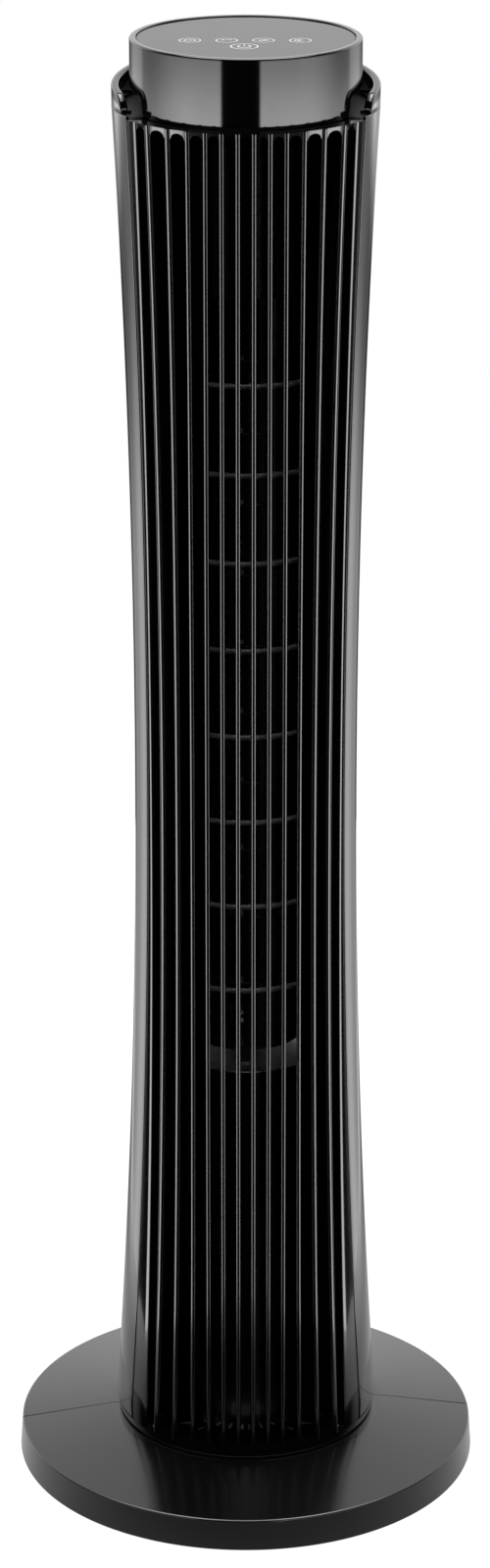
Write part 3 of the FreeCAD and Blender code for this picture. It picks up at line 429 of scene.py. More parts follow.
steel = brushed("steel", (0.62, 0.62, 0.64), 0.28, (1, 1, 6))
black_oxide = brushed("black_oxide", (0.045, 0.045, 0.05), 0.45, (1, 1, 6))
aluminium = brushed("aluminium", (0.78, 0.78, 0.79), 0.3, (1, 1, 14))
bronze = brushed("bronze", (0.55, 0.36, 0.18), 0.42, (3, 3, 3))
zinc_sheet = galvanised("zinc_sheet", (0.66, 0.67, 0.68))
lamination_steel = laminated("lamination_steel", (0.30, 0.30, 0.31), 0.0006)

# %% [markdown]
# A circuit board is green lacquer over copper tracks. Voronoi cells measured in city blocks give edges
# that run square and at 45 degrees, which is how tracks look, and a second, sparser pattern gives pads.

# %% Circuit board
def lacquered_board(name):
    """Green lacquer, lighter where a copper track lies under it, with bare tinned pads."""
    finish = Finish(name, (0.012, 0.10, 0.035), 0.3, coat=0.3)
    tracks = finish.node("ShaderNodeTexVoronoi", {"feature": "DISTANCE_TO_EDGE"},
                         {"Vector": finish.place(), "Scale": 190.0})
    line = 1 - tracks.ramp(0.02, 0.06)
    pads = finish.node("ShaderNodeTexVoronoi", {"feature": "F1"},
                       {"Vector": finish.place(), "Scale": 240.0})
    pad = 1 - pads.ramp(0.14, 0.18)
    lacquer = finish.mix(line, (0.010, 0.085, 0.03, 1), (0.03, 0.19, 0.07, 1))
    finish.set("Base Color", finish.mix(pad, lacquer, (0.62, 0.60, 0.55, 1)))
    finish.set("Metallic", pad * 0.9)
    finish.bump(line * 0.5 + pad, 0.00004)
    return finish.material


circuit_board = lacquered_board("circuit_board")

# %% [markdown]
# The icon print is a soft light grey with a slightly uneven ink. A little emission makes it glow: a
# painted glow, so that the icons can be read on a surface that mirrors the room.

# %% Printed icons
def print_with_glow(name, color):
    finish = Finish(name, color, 0.25, coat=0.3)
    ink = finish.mix(finish.noise(700, 2), shade(color, 0.85), shade(color, 1.1))
    finish.set("Base Color", ink)
    # Painted glow: the ink colour is also the emission colour, though the print is no lamp.
    finish.set("Emission Color", ink)
    finish.shader.inputs["Emission Strength"].default_value = 0.45
    return finish.material


icon_print_and_glow = print_with_glow("icon_print_and_glow", (0.55, 0.56, 0.57))

FINISHES = {
    "base_plastic": base_plastic, "gloss_shell": gloss_shell, "grille_plastic": grille_plastic,
    "satin_plastic": satin_plastic, "touch_panel": touch_panel, "rubber": rubber, "steel": steel,
    "zinc_sheet": zinc_sheet, "lamination_steel": lamination_steel, "bronze": bronze,
    "gear_plastic": gear_plastic, "wheel_plastic": wheel_plastic, "aluminium": aluminium,
    "circuit_board": circuit_board, "capacitor_sleeve": capacitor_sleeve,
}

# %% [markdown]
# The solid nodes bring only a flat colour. The record names the material of each one, so a dictionary
# from that name to a finish dresses all of them in one loop. Screws that face the outside are blackened.

# %% Give every solid node its finish
BLACKENED = {"housing_screws", "head_screws", "base_screws"}
for entry in frame["record"]["subparts"]:
    node = frame["nodes"][entry["node"]]
    node.data.materials.clear()
    node.data.materials.append(black_oxide if entry["node"] in BLACKENED
                               else FINISHES[entry["material_slot"]])

# %% [markdown]
# The base is two half discs that meet on a straight seam, turned a few degrees. Each half is an outline
# turned through half a circle: a thin top plate, a rim, and a small rounding where they meet, which
# catches the light as a fine bright line. A cylinder with a Boolean cut would show the same from above,
# but turning an outline keeps the faces even and the rounding exact.

# %% Base
SEAM_TURN = math.radians(3.5)
SEAM_GAP = 0.0005
PLATE = 0.0025
RIM_WALL = 0.003
BORE = 0.02415
FOOT_RING = 0.1343
FOOT_BOSS = 0.010
RIB_LOW, RIB_WIDE = 0.008, 0.002
BASE_FOOT_RADIUS = BASE_HIGH[0]
BASE_TOP_RADIUS = BASE_FOOT_RADIUS - 0.0015
CROWN_TOP = BASE_HIGH[2]
RIM_TOP = CROWN_TOP - 0.00935
CROWN_RADIUS = BAND_RADIUS + 0.002
CROWN_STEP = 0.078


def crown_height(radius):
    """Height of the base's sloping top: level round the column, then straight down to the rim."""
    share = (BASE_TOP_RADIUS - radius) / (BASE_TOP_RADIUS - CROWN_RADIUS)
    return RIM_TOP + (CROWN_TOP - RIM_TOP) * min(1, share)


def drum(radius, low, high, x, y, turns=40):
    """A solid round post: its outline from the axis out, turned about (x, y)."""
    return lathe(rounded([(1e-6, low), (radius, low), (radius, high), (1e-6, high)],
                         [0, 0.0004, 0, 0], 3), turns, centre=(x, y))


def join_shapes(shapes):
    """Put several closed shapes into one set of points and faces."""
    points, faces, start = [], [], 0
    for part_points, part_faces in shapes:
        points.append(part_points)
        faces += [np.asarray(block) + start for block in part_faces]
        start += len(part_points)
    return np.concatenate(points), faces


def rib_box(angle, start, stop, low, width):
    """A flat upright rib along a radius, whose top follows the underside of the sloping base."""
    u = np.array([start, stop, stop, start, start, stop, stop, start])
    v = np.array([-1, -1, 1, 1, -1, -1, 1, 1]) * width / 2
    high = np.array([crown_height(radius) - 0.001 for radius in (start, stop, stop, start)])
    z = np.concatenate([[low] * 4, high])
    points = np.stack([u * math.cos(angle) - v * math.sin(angle),
                       u * math.sin(angle) + v * math.cos(angle), z], -1)
    faces = np.array([[3, 2, 1, 0], [4, 5, 6, 7], [0, 1, 5, 4], [1, 2, 6, 5], [2, 3, 7, 6], [3, 0, 4, 7]])
    return points, [faces]


def base_half(name, node, side):
    """An outline turned through half a circle about the stand's axis, with three round bosses for the
    feet and four ribs under it."""
    low = BASE_LOW[2]
    rim = BASE_TOP_RADIUS - RIM_WALL
    inner = CROWN_STEP + PLATE
    corners = [(BORE, RIM_TOP - PLATE), (inner, RIM_TOP - PLATE), (inner, CROWN_TOP - PLATE),
               (CROWN_RADIUS, CROWN_TOP - PLATE), (rim, crown_height(rim) - PLATE), (rim, low),
               (BASE_FOOT_RADIUS, low), (BASE_TOP_RADIUS, RIM_TOP), (CROWN_RADIUS, CROWN_TOP),
               (CROWN_STEP, CROWN_TOP), (CROWN_STEP, RIM_TOP), (BORE, RIM_TOP)]
    outline = rounded(corners, [0, 0, 0, 0, 0.001, 0.0006, 0.0008, 0.0009, 0.004, 0.0006, 0, 0], 6)
    middle = SEAM_TURN + side * math.pi / 2
    gap = SEAM_GAP / BASE_TOP_RADIUS
    shapes = [lathe(outline, 192, middle - math.pi / 2 + gap, math.pi - 2 * gap)]
    for step in (-60, 0, 60):
        angle = middle + math.radians(step)
        shapes.append(drum(FOOT_BOSS, 0.003, crown_height(FOOT_RING + FOOT_BOSS) - 0.0005,
                           FOOT_RING * math.cos(angle), FOOT_RING * math.sin(angle)))
    for step in (-75, -30, 30, 75):
        shapes.append(rib_box(middle + math.radians(step), CROWN_RADIUS, rim + 0.001, RIB_LOW, RIB_WIDE))
    points, faces = join_shapes(shapes)
    piece = add_mesh(name, points, faces, base_plastic, "stand")
    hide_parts(node)
    return piece


base_half("base_disc_front", "base_front_half", -1)
base_half("base_disc_rear", "base_rear_half", 1)

# %% [markdown]
# The column's foot is a plain glossy band with a floor inside it. The Screw modifier could turn it from
# a drawn edge; here the same lathe function is used, so that the band's radius follows the column's.

# %% Foot band
FLOOR_LOW = FOOT_LOW[2]
FLOOR_HIGH = FLOOR_LOW + 0.003
FOOT_DRAFT = 0.0006


def foot_band():
    """An outline turned all the way: the floor plate with its bore, and the band's upright wall."""
    high = FOOT_HIGH[2]
    inner = BAND_RADIUS - 0.003
    corners = [(0.02405, FLOOR_LOW), (BAND_RADIUS - FOOT_DRAFT, FLOOR_LOW), (BAND_RADIUS, high),
               (inner, high), (inner, FLOOR_HIGH), (0.02405, FLOOR_HIGH)]
    points, faces = lathe(rounded(corners, [0, 0.0012, 0, 0, 0, 0]), 256)
    piece = add_mesh("foot_skirt", points, faces, gloss_shell, "column")
    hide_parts("column_foot")


foot_band()

# %% [markdown]
# The rear housing wraps the back and sides. Its surface is a grid of angle and height on the column's
# radius, with one window left out for the intake insert. Cutting the window with a Boolean would leave
# long thin faces that spoil a mirror finish, so the grid has lines along the window's edges and skips the
# cells inside. A bevel on the sharp edges gives the soft lip that shows as a bright line.

# %% Rear housing
WALL = 0.0025
INTAKE_HALF = math.radians(50)
INTAKE_BOTTOM, INTAKE_TOP = INTAKE_LOW[2], INTAKE_HIGH[2]


def merge_lines(*groups):
    """Sorted grid lines from several groups, without near doubles."""
    lines = np.sort(np.concatenate([np.atleast_1d(group) for group in groups]))
    return lines[np.concatenate([[True], np.diff(lines) > 1e-6])]


def column_skin(angles, heights, inset):
    """Points on the column at angles measured from the rear (+Y), for each height."""
    radius = column_radius(heights, inset)[:, None]
    return np.stack([radius * np.sin(angles)[None] + 0 * heights[:, None],
                     radius * np.cos(angles)[None] + 0 * heights[:, None],
                     heights[:, None] + 0 * angles[None]], -1)


def rear_housing():
    """Grid of angle and height: x is radius times the sine of the angle from the rear, y is radius
    times its cosine, and the radius is the column's at that height."""
    reach = math.pi - FRONT_HALF - 0.0015
    angles = merge_lines(np.linspace(-reach, -INTAKE_HALF, 40),
                         np.linspace(-INTAKE_HALF, INTAKE_HALF, 45),
                         np.linspace(INTAKE_HALF, reach, 40))
    heights = merge_lines(BODY_BOTTOM + np.array([0.0003, 0.003, 0.006, 0.009, 0.012]),
                          np.linspace(KNEE, INTAKE_BOTTOM, 28),
                          np.linspace(INTAKE_BOTTOM, INTAKE_TOP, 52),
                          np.linspace(INTAKE_TOP, HOUSING_TOP, 12))
    middle_angle = (angles[:-1] + angles[1:]) / 2
    middle_height = (heights[:-1] + heights[1:]) / 2
    window = ((np.abs(middle_angle)[None] < INTAKE_HALF)
              & (middle_height[:, None] > INTAKE_BOTTOM) & (middle_height[:, None] < INTAKE_TOP))
    front = column_skin(angles, heights, 0)[:, ::-1]
    back = column_skin(angles, heights, WALL)[:, ::-1]
    points, faces = walled(front, back, ~window[:, ::-1])
    piece = add_mesh("housing_shell", points, faces, gloss_shell, "column", soft=0.0009)
    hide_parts("rear_housing")


rear_housing()

# %% [markdown]
# The intake insert fills that window. Its grid lines are set exactly on the slots' edges, so a mask of
# rows and columns is all it takes to open fifty rows of slots. An Array modifier of one slot would not
# follow the waisted skin.

# %% Intake grille
INTAKE_PITCH, INTAKE_SLOT = 0.010, 0.0064
INTAKE_COLUMNS = ((-0.0517, -0.0192), (-0.0152, 0.0152), (0.0192, 0.0517))
INTAKE_FIRST, INTAKE_LAST = 0.008, 0.012
INTAKE_SUNK = 0.0004


def intake_grille():
    """Grid of width x and height z on the back of the column: y is the root of radius squared less
    x squared. A cell is open where its middle lies in a slot's width and in a slot's height."""
    slots = np.arange(INTAKE_BOTTOM + INTAKE_FIRST, INTAKE_TOP - INTAKE_LAST, INTAKE_PITCH)
    heights = merge_lines([INTAKE_BOTTOM, INTAKE_TOP], slots, slots + INTAKE_SLOT)
    radius = column_radius(heights)[:, None]
    side = radius * math.sin(INTAKE_HALF - 0.003)
    places = merge_lines(*[np.linspace(left, right, 11) for left, right in INTAKE_COLUMNS])
    x = np.hstack([-side, places[None] + 0 * side, side])
    middle_x = (x[0, :-1] + x[0, 1:]) / 2
    middle_height = (heights[:-1] + heights[1:]) / 2
    in_column = np.any([(middle_x > left) & (middle_x < right) for left, right in INTAKE_COLUMNS], 0)
    in_slot = np.any([(middle_height > slot) & (middle_height < slot + INTAKE_SLOT)
                      for slot in slots], 0)
    solid = ~(in_slot[:, None] & in_column[None])

    def skin(depth):
        return np.stack([x * (radius - depth) / radius,
                         np.sqrt(radius ** 2 - x ** 2) * (radius - depth) / radius,
                         heights[:, None] + 0 * x], -1)[:, ::-1]

    points, faces = walled(skin(INTAKE_SUNK), skin(WALL), solid[:, ::-1])
    piece = add_mesh("intake_slats", points, faces, grille_plastic, "column", soft=0.0005, steps=2)
    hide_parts("rear_grille")


intake_grille()

# %% [markdown]
# The outlet grille is what the eye meets first: twelve upright slats whose noses follow the waisted
# skin. The outer slats bow apart towards both ends. The grid has lines across the front at every slat
# edge and eight more in each slot, whose rows are drawn into a half circle at the slot's ends. The lines
# within a slat step back from the skin along a circle, so each nose is nearly half round.

# %% Outlet grille
SLAT = 0.003
SLAT_PLACES = np.array([0.00505, 0.01515, 0.02525, 0.03505, 0.04485, 0.05465])
SLAT_FANS = np.array([0, 0, 0, 0.0013, 0.0041, 0.0069])
OUTER_SLOT = 0.0052
NOSE = 0.0014
GRILLE_DEPTH = 0.016
SLOT_BOTTOM, SLOT_TOP = 0.042, DECK_TOP - 0.002


def slot_edges():
    """Left and right edges of the thirteen slots: place at the waist, and how far the ends fan out."""
    places = np.concatenate([-SLAT_PLACES[::-1], SLAT_PLACES])
    fans = np.concatenate([-SLAT_FANS[::-1], SLAT_FANS])
    outer = SLAT_PLACES[-1] + SLAT / 2 + OUTER_SLOT
    lefts = np.concatenate([[-outer], places + SLAT / 2])
    rights = np.concatenate([places - SLAT / 2, [outer]])
    return lefts, rights, np.concatenate([fans[:1], fans]), np.concatenate([fans, fans[-1:]])


def outlet_grille():
    """Grid of column and height. A column's x is its place at the waist plus its fan times the square
    of the distance from mid height (0 in the middle, 1 at the slots' ends). y is minus the root of
    the radius squared less x squared. Within a slat the radius drops by what a circle of the nose's
    size leaves free. Cells between two slats are open, which leaves the slots."""
    lefts, rights, left_fans, right_fans = slot_edges()
    across, within = 9, np.array([0.04, 0.1, 0.18, 0.28, 0.39, 0.5, 0.61, 0.72, 0.82, 0.9, 0.96])
    blend = np.linspace(0, 1, across)
    radius = (rights - lefts + right_fans - left_fans) / 2
    # Each column holds: place at the waist, fan, height of the round end, drop of the nose, in a slot.
    columns = []
    for k in range(len(lefts)):
        offset = (blend * 2 - 1) * radius[k]
        arch = radius[k] - np.sqrt(np.maximum(radius[k] ** 2 - offset ** 2, 0))
        columns.append(np.stack([lefts[k] + (rights[k] - lefts[k]) * blend,
                                 left_fans[k] + (right_fans[k] - left_fans[k]) * blend, arch,
                                 np.full(across, NOSE), np.arange(across) < across - 1]))
        if k + 1 < len(lefts):
            from_edge = np.minimum(within, 1 - within) * SLAT
            drop = NOSE - np.sqrt(NOSE ** 2 - np.maximum(NOSE - from_edge, 0) ** 2)
            columns.append(np.stack([rights[k] + (lefts[k + 1] - rights[k]) * within,
                                     right_fans[k] + (left_fans[k + 1] - right_fans[k]) * within,
                                     radius[k] + (radius[k + 1] - radius[k]) * within, drop, 0 * within]))
    place, fan, round_end, drop, in_slot = np.hstack(columns)
    in_slot = in_slot.astype(bool)[:-1]

    edge_angle = FRONT_HALF - 0.0015
    middle = (SLOT_BOTTOM + SLOT_TOP) / 2
    bottoms = SLOT_BOTTOM + round_end
    tops = SLOT_TOP - round_end
    rows = [np.full_like(place, BODY_BOTTOM + 0.0003), BODY_BOTTOM + (bottoms - BODY_BOTTOM) * 0.6]
    rows += [bottoms + (tops - bottoms) * share for share in np.linspace(0, 1, 110)]
    rows += [tops + (DECK_TOP - tops) * 0.5, np.full_like(place, DECK_TOP)]
    height = np.array(rows)
    reach = (SLOT_TOP - SLOT_BOTTOM) / 2
    x = place[None] + fan[None] * ((height - middle) / reach) ** 2

    side = np.array([0.03, 0.07, 0.13, 0.25, 0.45, 0.7, 1.0])
    far = column_radius(height[:, :1]) * math.sin(edge_angle)
    cheek = far[len(far) // 2, 0] - place.max()
    side_drop = NOSE - np.sqrt(NOSE ** 2 - np.maximum(NOSE - side * cheek, 0) ** 2)
    left_side = x[:, :1] + (-far - x[:, :1]) * side[::-1]
    right_side = x[:, -1:] + (far - x[:, -1:]) * side
    x = np.hstack([left_side, x, right_side])
    height = np.hstack([height[:, :1].repeat(len(side), 1), height, height[:, -1:].repeat(len(side), 1)])
    slot_column = np.r_[np.zeros(len(side), bool), in_slot, np.zeros(len(side), bool)]
    drop = np.r_[side_drop[::-1], drop, side_drop][None].repeat(len(height), 0)

    radius = column_radius(height)
    front_radius = radius - drop
    front_x = x * np.minimum(1, front_radius * math.sin(edge_angle) / np.abs(x).max(1, keepdims=True))
    front = np.stack([front_x, -np.sqrt(front_radius ** 2 - front_x ** 2), height], -1)
    inner = radius - GRILLE_DEPTH
    deep = -np.sqrt(np.maximum(inner ** 2 - x ** 2, 0))
    cheek_back = -radius * math.cos(edge_angle) - 0.0008
    back = np.stack([x, np.where(np.abs(x) < inner * 0.97, np.minimum(deep, cheek_back), cheek_back),
                     height], -1)
    solid = np.ones((height.shape[0] - 1, height.shape[1] - 1), bool)
    solid[2:-2] = ~slot_column[None]
    piece = add_mesh("outlet_slats", *walled(front, back, solid), grille_plastic, "column",
                     smooth_angle=50)
    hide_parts("front_grille")


outlet_grille()

# %% [markdown]
# Behind the slats is the duct's front wall, with a tall outlet window crossed by eight round bars. Flat
# plates at both sides close the gap to the shell; without them, light from the intake would shine
# through the outer slots. The wall is the same kind of grid as the grille, one grille depth further in.

# %% Duct wall
WINDOW = (-0.025, 0.035, 0.305, DECK_TOP - 0.108)
WINDOW_ZONE = 0.040
RETURN_ANGLES = (math.radians(62.15), math.radians(63.75))
BAR = 0.0037
DUCT_WALL = 0.002


def duct_wall():
    """Grid of width and height like the grille's, one grille depth further in. The columns keep their
    x across the window and spread to the wall's edge beyond it."""
    left, right, bottom, top = WINDOW
    pitch = (top - bottom + BAR) / 9
    panes = bottom + pitch * np.arange(9)
    heights = merge_lines(np.linspace(FLOOR_HIGH, bottom, 24), panes, panes + pitch - BAR,
                          np.linspace(top, DECK_TOP, 12), np.linspace(bottom, top, 9 * 6 + 1))
    radius = column_radius(heights, GRILLE_DEPTH + 0.0003)[:, None]
    edge = radius * math.sin(RETURN_ANGLES[1])
    outward = np.linspace(0, 1, 14)[None, 1:]
    places = merge_lines(np.linspace(-WINDOW_ZONE, WINDOW_ZONE, 41), [left, right])
    x = np.hstack([(-WINDOW_ZONE - (edge - WINDOW_ZONE) * outward)[:, ::-1], places[None] + 0 * edge,
                   WINDOW_ZONE + (edge - WINDOW_ZONE) * outward])
    middle_x = (x[0, :-1] + x[0, 1:]) / 2
    middle_height = (heights[:-1] + heights[1:]) / 2
    in_window = (middle_height > bottom) & (middle_height < top)
    window = in_window[:, None] & ((middle_x > left) & (middle_x < right))[None]

    def skin(depth):
        inner = radius - depth
        return np.stack([x * inner / radius, -np.sqrt(radius ** 2 - x ** 2) * inner / radius,
                         heights[:, None] + 0 * x], -1)

    piece = add_mesh("duct_wall", *walled(skin(0), skin(DUCT_WALL - 0.0004), ~window), grille_plastic,
                     "column", soft=0.0007, steps=3)
    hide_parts("duct_front")


def window_bars():
    """Eight rods across the window: a circle carried along the wall's curve from side to side."""
    left, right, bottom, top = WINDOW
    pitch = (top - bottom + BAR) / 9
    turn = np.linspace(0, 2 * math.pi, 13)[:-1]
    x = np.linspace(left - 0.0005, right + 0.0005, 24)[:, None]
    shapes = []
    for level in bottom + pitch * np.arange(1, 9) - BAR / 2:
        skin = float(column_radius(level, GRILLE_DEPTH + 0.0003))
        rod = skin - BAR / 2 + BAR / 2 * np.cos(turn)[None]
        height = level + BAR / 2 * np.sin(turn)[None]
        ring = np.stack([x + 0 * rod, -np.sqrt(rod ** 2 - x ** 2), height + 0 * x], -1)
        numbers = grid_numbers(len(x), len(turn), close_columns=True)
        ends = [numbers[:1, :-1][:, ::-1], numbers[-1:, :-1]]
        shapes.append((ring.reshape(-1, 3), [grid_quads(numbers).reshape(-1, 4)] + ends))
    points, faces = join_shapes(shapes)
    # The bars' light grey finish is a painted highlight.
    piece = add_mesh("window_bars", points, faces, bar_plastic_painted_highlight, "column", smooth_angle=60)
    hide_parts("duct_front")


def duct_returns():
    """Flat plates along a radius, from the duct wall out to just under the shell, at both sides."""
    heights = np.linspace(BODY_BOTTOM + 0.0002, DECK_TOP, 90)[:, None]
    inner = column_radius(heights, GRILLE_DEPTH + DUCT_WALL + 0.0001)
    radius = np.hstack([inner, column_radius(heights, WALL + 0.0003)])
    shapes = []
    for side in (-1, 1):
        def face(angle):
            plate = np.stack([side * radius * math.sin(angle), -radius * math.cos(angle),
                              heights + 0 * radius], -1)
            return plate[:, ::side]

        near, far = RETURN_ANGLES
        shapes.append(walled(face(near), face(far), np.ones((len(heights) - 1, 1), bool)))
    points, faces = join_shapes(shapes)
    piece = add_mesh("duct_returns", points, faces, satin_plastic, "column")
    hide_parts("duct_front")


duct_wall()
window_bars()
duct_returns()

# %% [markdown]
# The shoulder rim is a C of rounded section that rises towards the back. Its section is carried along
# the angle, and the top height follows a slope with a quarter round at each end. A curve with a bevel
# object would keep one section all the way; here the section's height has to change.

# %% Shoulder rim
CAP_WALL = 0.0049
CAP_HALF = math.radians(113)
CAP_SIDE, CAP_SLOPE = 0.0136, 0.08
CAP_END = 0.009


def shoulder_rim():
    """A rounded rectangle carried along an arc. Its top follows a slope in depth, and near each end
    it dips by a quarter circle."""
    outer = float(column_radius(HOUSING_TOP))
    ends = np.linspace(0, 1, 14) ** 2 * CAP_END * 1.15
    arc_length = outer * CAP_HALF * 2
    along = merge_lines(ends, arc_length - ends,
                        np.linspace(CAP_END * 1.2, arc_length - CAP_END * 1.2, 90))
    angle = along / outer - CAP_HALF
    depth = outer * np.cos(angle)
    from_end = np.minimum(along, arc_length - along)
    dip = np.where(from_end < CAP_END, CAP_END - np.sqrt(CAP_END ** 2 - (CAP_END - from_end) ** 2), 0)
    top = HOUSING_TOP + CAP_SIDE + depth * CAP_SLOPE - dip
    bottom = HOUSING_TOP + 0.0003
    inner = outer - CAP_WALL
    unit = rounded([(0, 0), (1, 0), (1, 1), (0, 1)], [0.08, 0.1, 0.3, 0.3], 5)
    rows = []
    for place, high in zip(angle, top):
        tall = high - bottom
        soft = 0.0016
        v = np.where(unit[:, 1] > 0.5, tall - (1 - unit[:, 1]) * soft / 0.3, unit[:, 1] * soft / 0.3)
        r = inner + unit[:, 0] * CAP_WALL
        rows.append(np.stack([r * math.sin(place), r * math.cos(place), bottom + v], -1))
    points = np.array(rows)
    numbers = grid_numbers(len(rows), len(unit), close_columns=True)
    faces = [grid_quads(numbers).reshape(-1, 4), numbers[:1, :-1][:, ::-1], numbers[-1:, :-1]]
    piece = add_mesh("shoulder_rim", points.reshape(-1, 3), faces, gloss_shell, "column",
                     smooth_angle=50)
    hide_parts("shoulder_cap")


shoulder_rim()

# %% [markdown]
# The head is a low drum. At the front it reaches down as an apron; towards the sides its lower edge
# turns up through a fillet and then runs back in a gentle rise. The wall is a grid whose bottom row
# follows that edge, so the flat upper part stays free of cuts and mirrors the room without a wobble.

# %% Head shell
RIM_WIDTH = 0.004
HEAD_TOP = HEAD_HIGH[2]
APRON_HALF = math.radians(61)
APRON_BOTTOM = HEAD_LOW[2]
FILLET = 0.008
SIDE_EDGE = 0.949
HEAD_WALL = 0.0024
HEAD_FLOOR_BORE = 0.0553


def edge_height(angle):
    """Height of the head's lower edge at an angle from the front: apron, fillet, then a slow rise."""
    past = (np.abs(angle) - APRON_HALF) * HEAD_RADIUS
    along = np.clip(past, 0, FILLET)
    fillet = SIDE_EDGE - FILLET + np.sqrt(np.maximum(FILLET ** 2 - (along - FILLET) ** 2, 0))
    share = np.clip((past - FILLET) / 0.07, 0, 1)
    rise = (HEAD_BOTTOM - SIDE_EDGE) * share * share * (3 - 2 * share)
    return np.where(past < 0, APRON_BOTTOM, fillet + rise)


def head_cap():
    """Grid of angle and profile point: x is radius times sine, y minus radius times cosine. The lower
    profile hangs on the edge's height at that angle, the upper profile is level all round."""
    step = 1e-4
    past_corner = np.linspace(0, 1, 14)[1:] ** 2 * FILLET * 1.1 / HEAD_RADIUS
    near = APRON_HALF + np.concatenate([[-step, step / 10], past_corner])
    side = np.linspace(near[-1], math.pi, 90)[1:]
    angles = merge_lines(-near, near, np.linspace(-APRON_HALF, APRON_HALF, 90)[1:-1], side, -side[:-1])
    bottom = edge_height(angles)
    edge = 0.0008
    corner = 0.0013
    curl = np.linspace(0, math.pi / 2, 6)
    profile = [(HEAD_RADIUS - HEAD_WALL, 0.0), (HEAD_RADIUS - edge, 0.0)]
    profile += [(HEAD_RADIUS - edge + edge * math.sin(t), edge - edge * math.cos(t)) for t in curl[1:]]
    hold = 0.0005
    profile.append((HEAD_RADIUS, edge + hold))
    lower = np.array(profile)
    upper = [(HEAD_RADIUS, HEAD_TOP - corner - hold)]
    upper += [(HEAD_RADIUS - corner + corner * math.cos(t), HEAD_TOP - corner + corner * math.sin(t))
              for t in curl]
    rim = HEAD_RADIUS - RIM_WIDTH
    lip = 0.0005
    upper += [(rim + lip - lip * math.sin(t), HEAD_TOP - lip + lip * math.cos(t)) for t in curl]
    seat = PANEL_LOW[2]
    upper += [(rim, seat), (rim - 0.0026, seat), (rim - 0.0026, seat - 0.002),
              (HEAD_RADIUS - HEAD_WALL, seat - 0.002)]
    upper = np.array(upper)
    radius = np.concatenate([lower[:, 0], upper[:, 0]])
    height = np.hstack([bottom[:, None] + lower[None, :, 1],
                        np.broadcast_to(upper[:, 1], (len(angles), len(upper)))])
    points = np.stack([radius[None] * np.sin(angles)[:, None],
                       -radius[None] * np.cos(angles)[:, None], height], -1)
    quads = grid_quads(grid_numbers(len(angles), len(radius), True, True), flip=True)
    inside, floor_top = HEAD_RADIUS - HEAD_WALL, HEAD_BOTTOM + WALL
    floor_ring = lathe([(HEAD_FLOOR_BORE, HEAD_BOTTOM), (inside, HEAD_BOTTOM), (inside, floor_top),
                        (HEAD_FLOOR_BORE, floor_top)], 128)
    points, faces = join_shapes([(points.reshape(-1, 3), [quads.reshape(-1, 4)]), floor_ring])
    piece = add_mesh("head_cap", points, faces, gloss_shell, "column", smooth_angle=35)
    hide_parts("head_shell")


head_cap()

# %% [markdown]
# The touch panel is a thin disc with a softened edge, a little below the rim. The icons lie on it as
# skins a few hundredths of a millimetre thick. Decals would need an image; a thin strip along a path
# needs only its points and a width.

# %% Touch panel
PANEL_TOP = PANEL_HIGH[2]
PANEL_RADIUS = PANEL_HIGH[0]


def touch_glass():
    """A turned disc with a small rounding at its upper edge."""
    corners = [(1e-6, PANEL_LOW[2]), (PANEL_RADIUS, PANEL_LOW[2]), (PANEL_RADIUS, PANEL_TOP),
               (1e-6, PANEL_TOP)]
    outline = rounded(corners, [0, 0, 0.0006, 0], 6)
    points, faces = lathe(outline, 256)
    piece = add_mesh("touch_glass", points, faces, touch_panel, "column")
    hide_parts("control_panel")


touch_glass()

ICON_LIFT, ICON_SKIN = 0.00001, 0.00005


def band(path, width, closed=False):
    """A flat line of the given width along plan points, as a thin closed strip on the panel."""
    path = np.asarray(path, float)
    ahead, behind = (np.roll(path, -1, 0), np.roll(path, 1, 0)) if closed else (
        np.vstack([path[1:], path[-1:]]), np.vstack([path[:1], path[:-1]]))
    run = ahead - behind
    run /= np.linalg.norm(run, axis=1, keepdims=True)
    side = np.stack([-run[:, 1], run[:, 0]], -1) * width / 2
    low, high = PANEL_TOP + ICON_LIFT, PANEL_TOP + ICON_LIFT + ICON_SKIN
    ring = [(path + side, low), (path - side, low), (path - side, high), (path + side, high)]
    points = np.stack([np.column_stack([flat, np.full(len(flat), z)]) for flat, z in ring], 1)
    numbers = grid_numbers(len(path), len(ring), close_rows=closed, close_columns=True)
    faces = [grid_quads(numbers).reshape(-1, 4)]
    if not closed:
        faces += [numbers[:1, :-1][:, ::-1], numbers[-1:, :-1]]
    return points.reshape(-1, 3), faces


def arc(x, y, radius, start=0.0, stop=360.0, count=48, close=True):
    """Points of a circle or arc in plan, angles in degrees."""
    turn = np.radians(np.linspace(start, stop, count, endpoint=not close))
    return np.stack([x + radius * np.cos(turn), y + radius * np.sin(turn)], -1)


ICON_ROW = -0.0097
ICON_X = np.array([-1.5, -0.5, 0.5, 1.5]) * 0.0228 - 0.0005
POWER = (-0.001, -0.029)
LINE = 0.00055


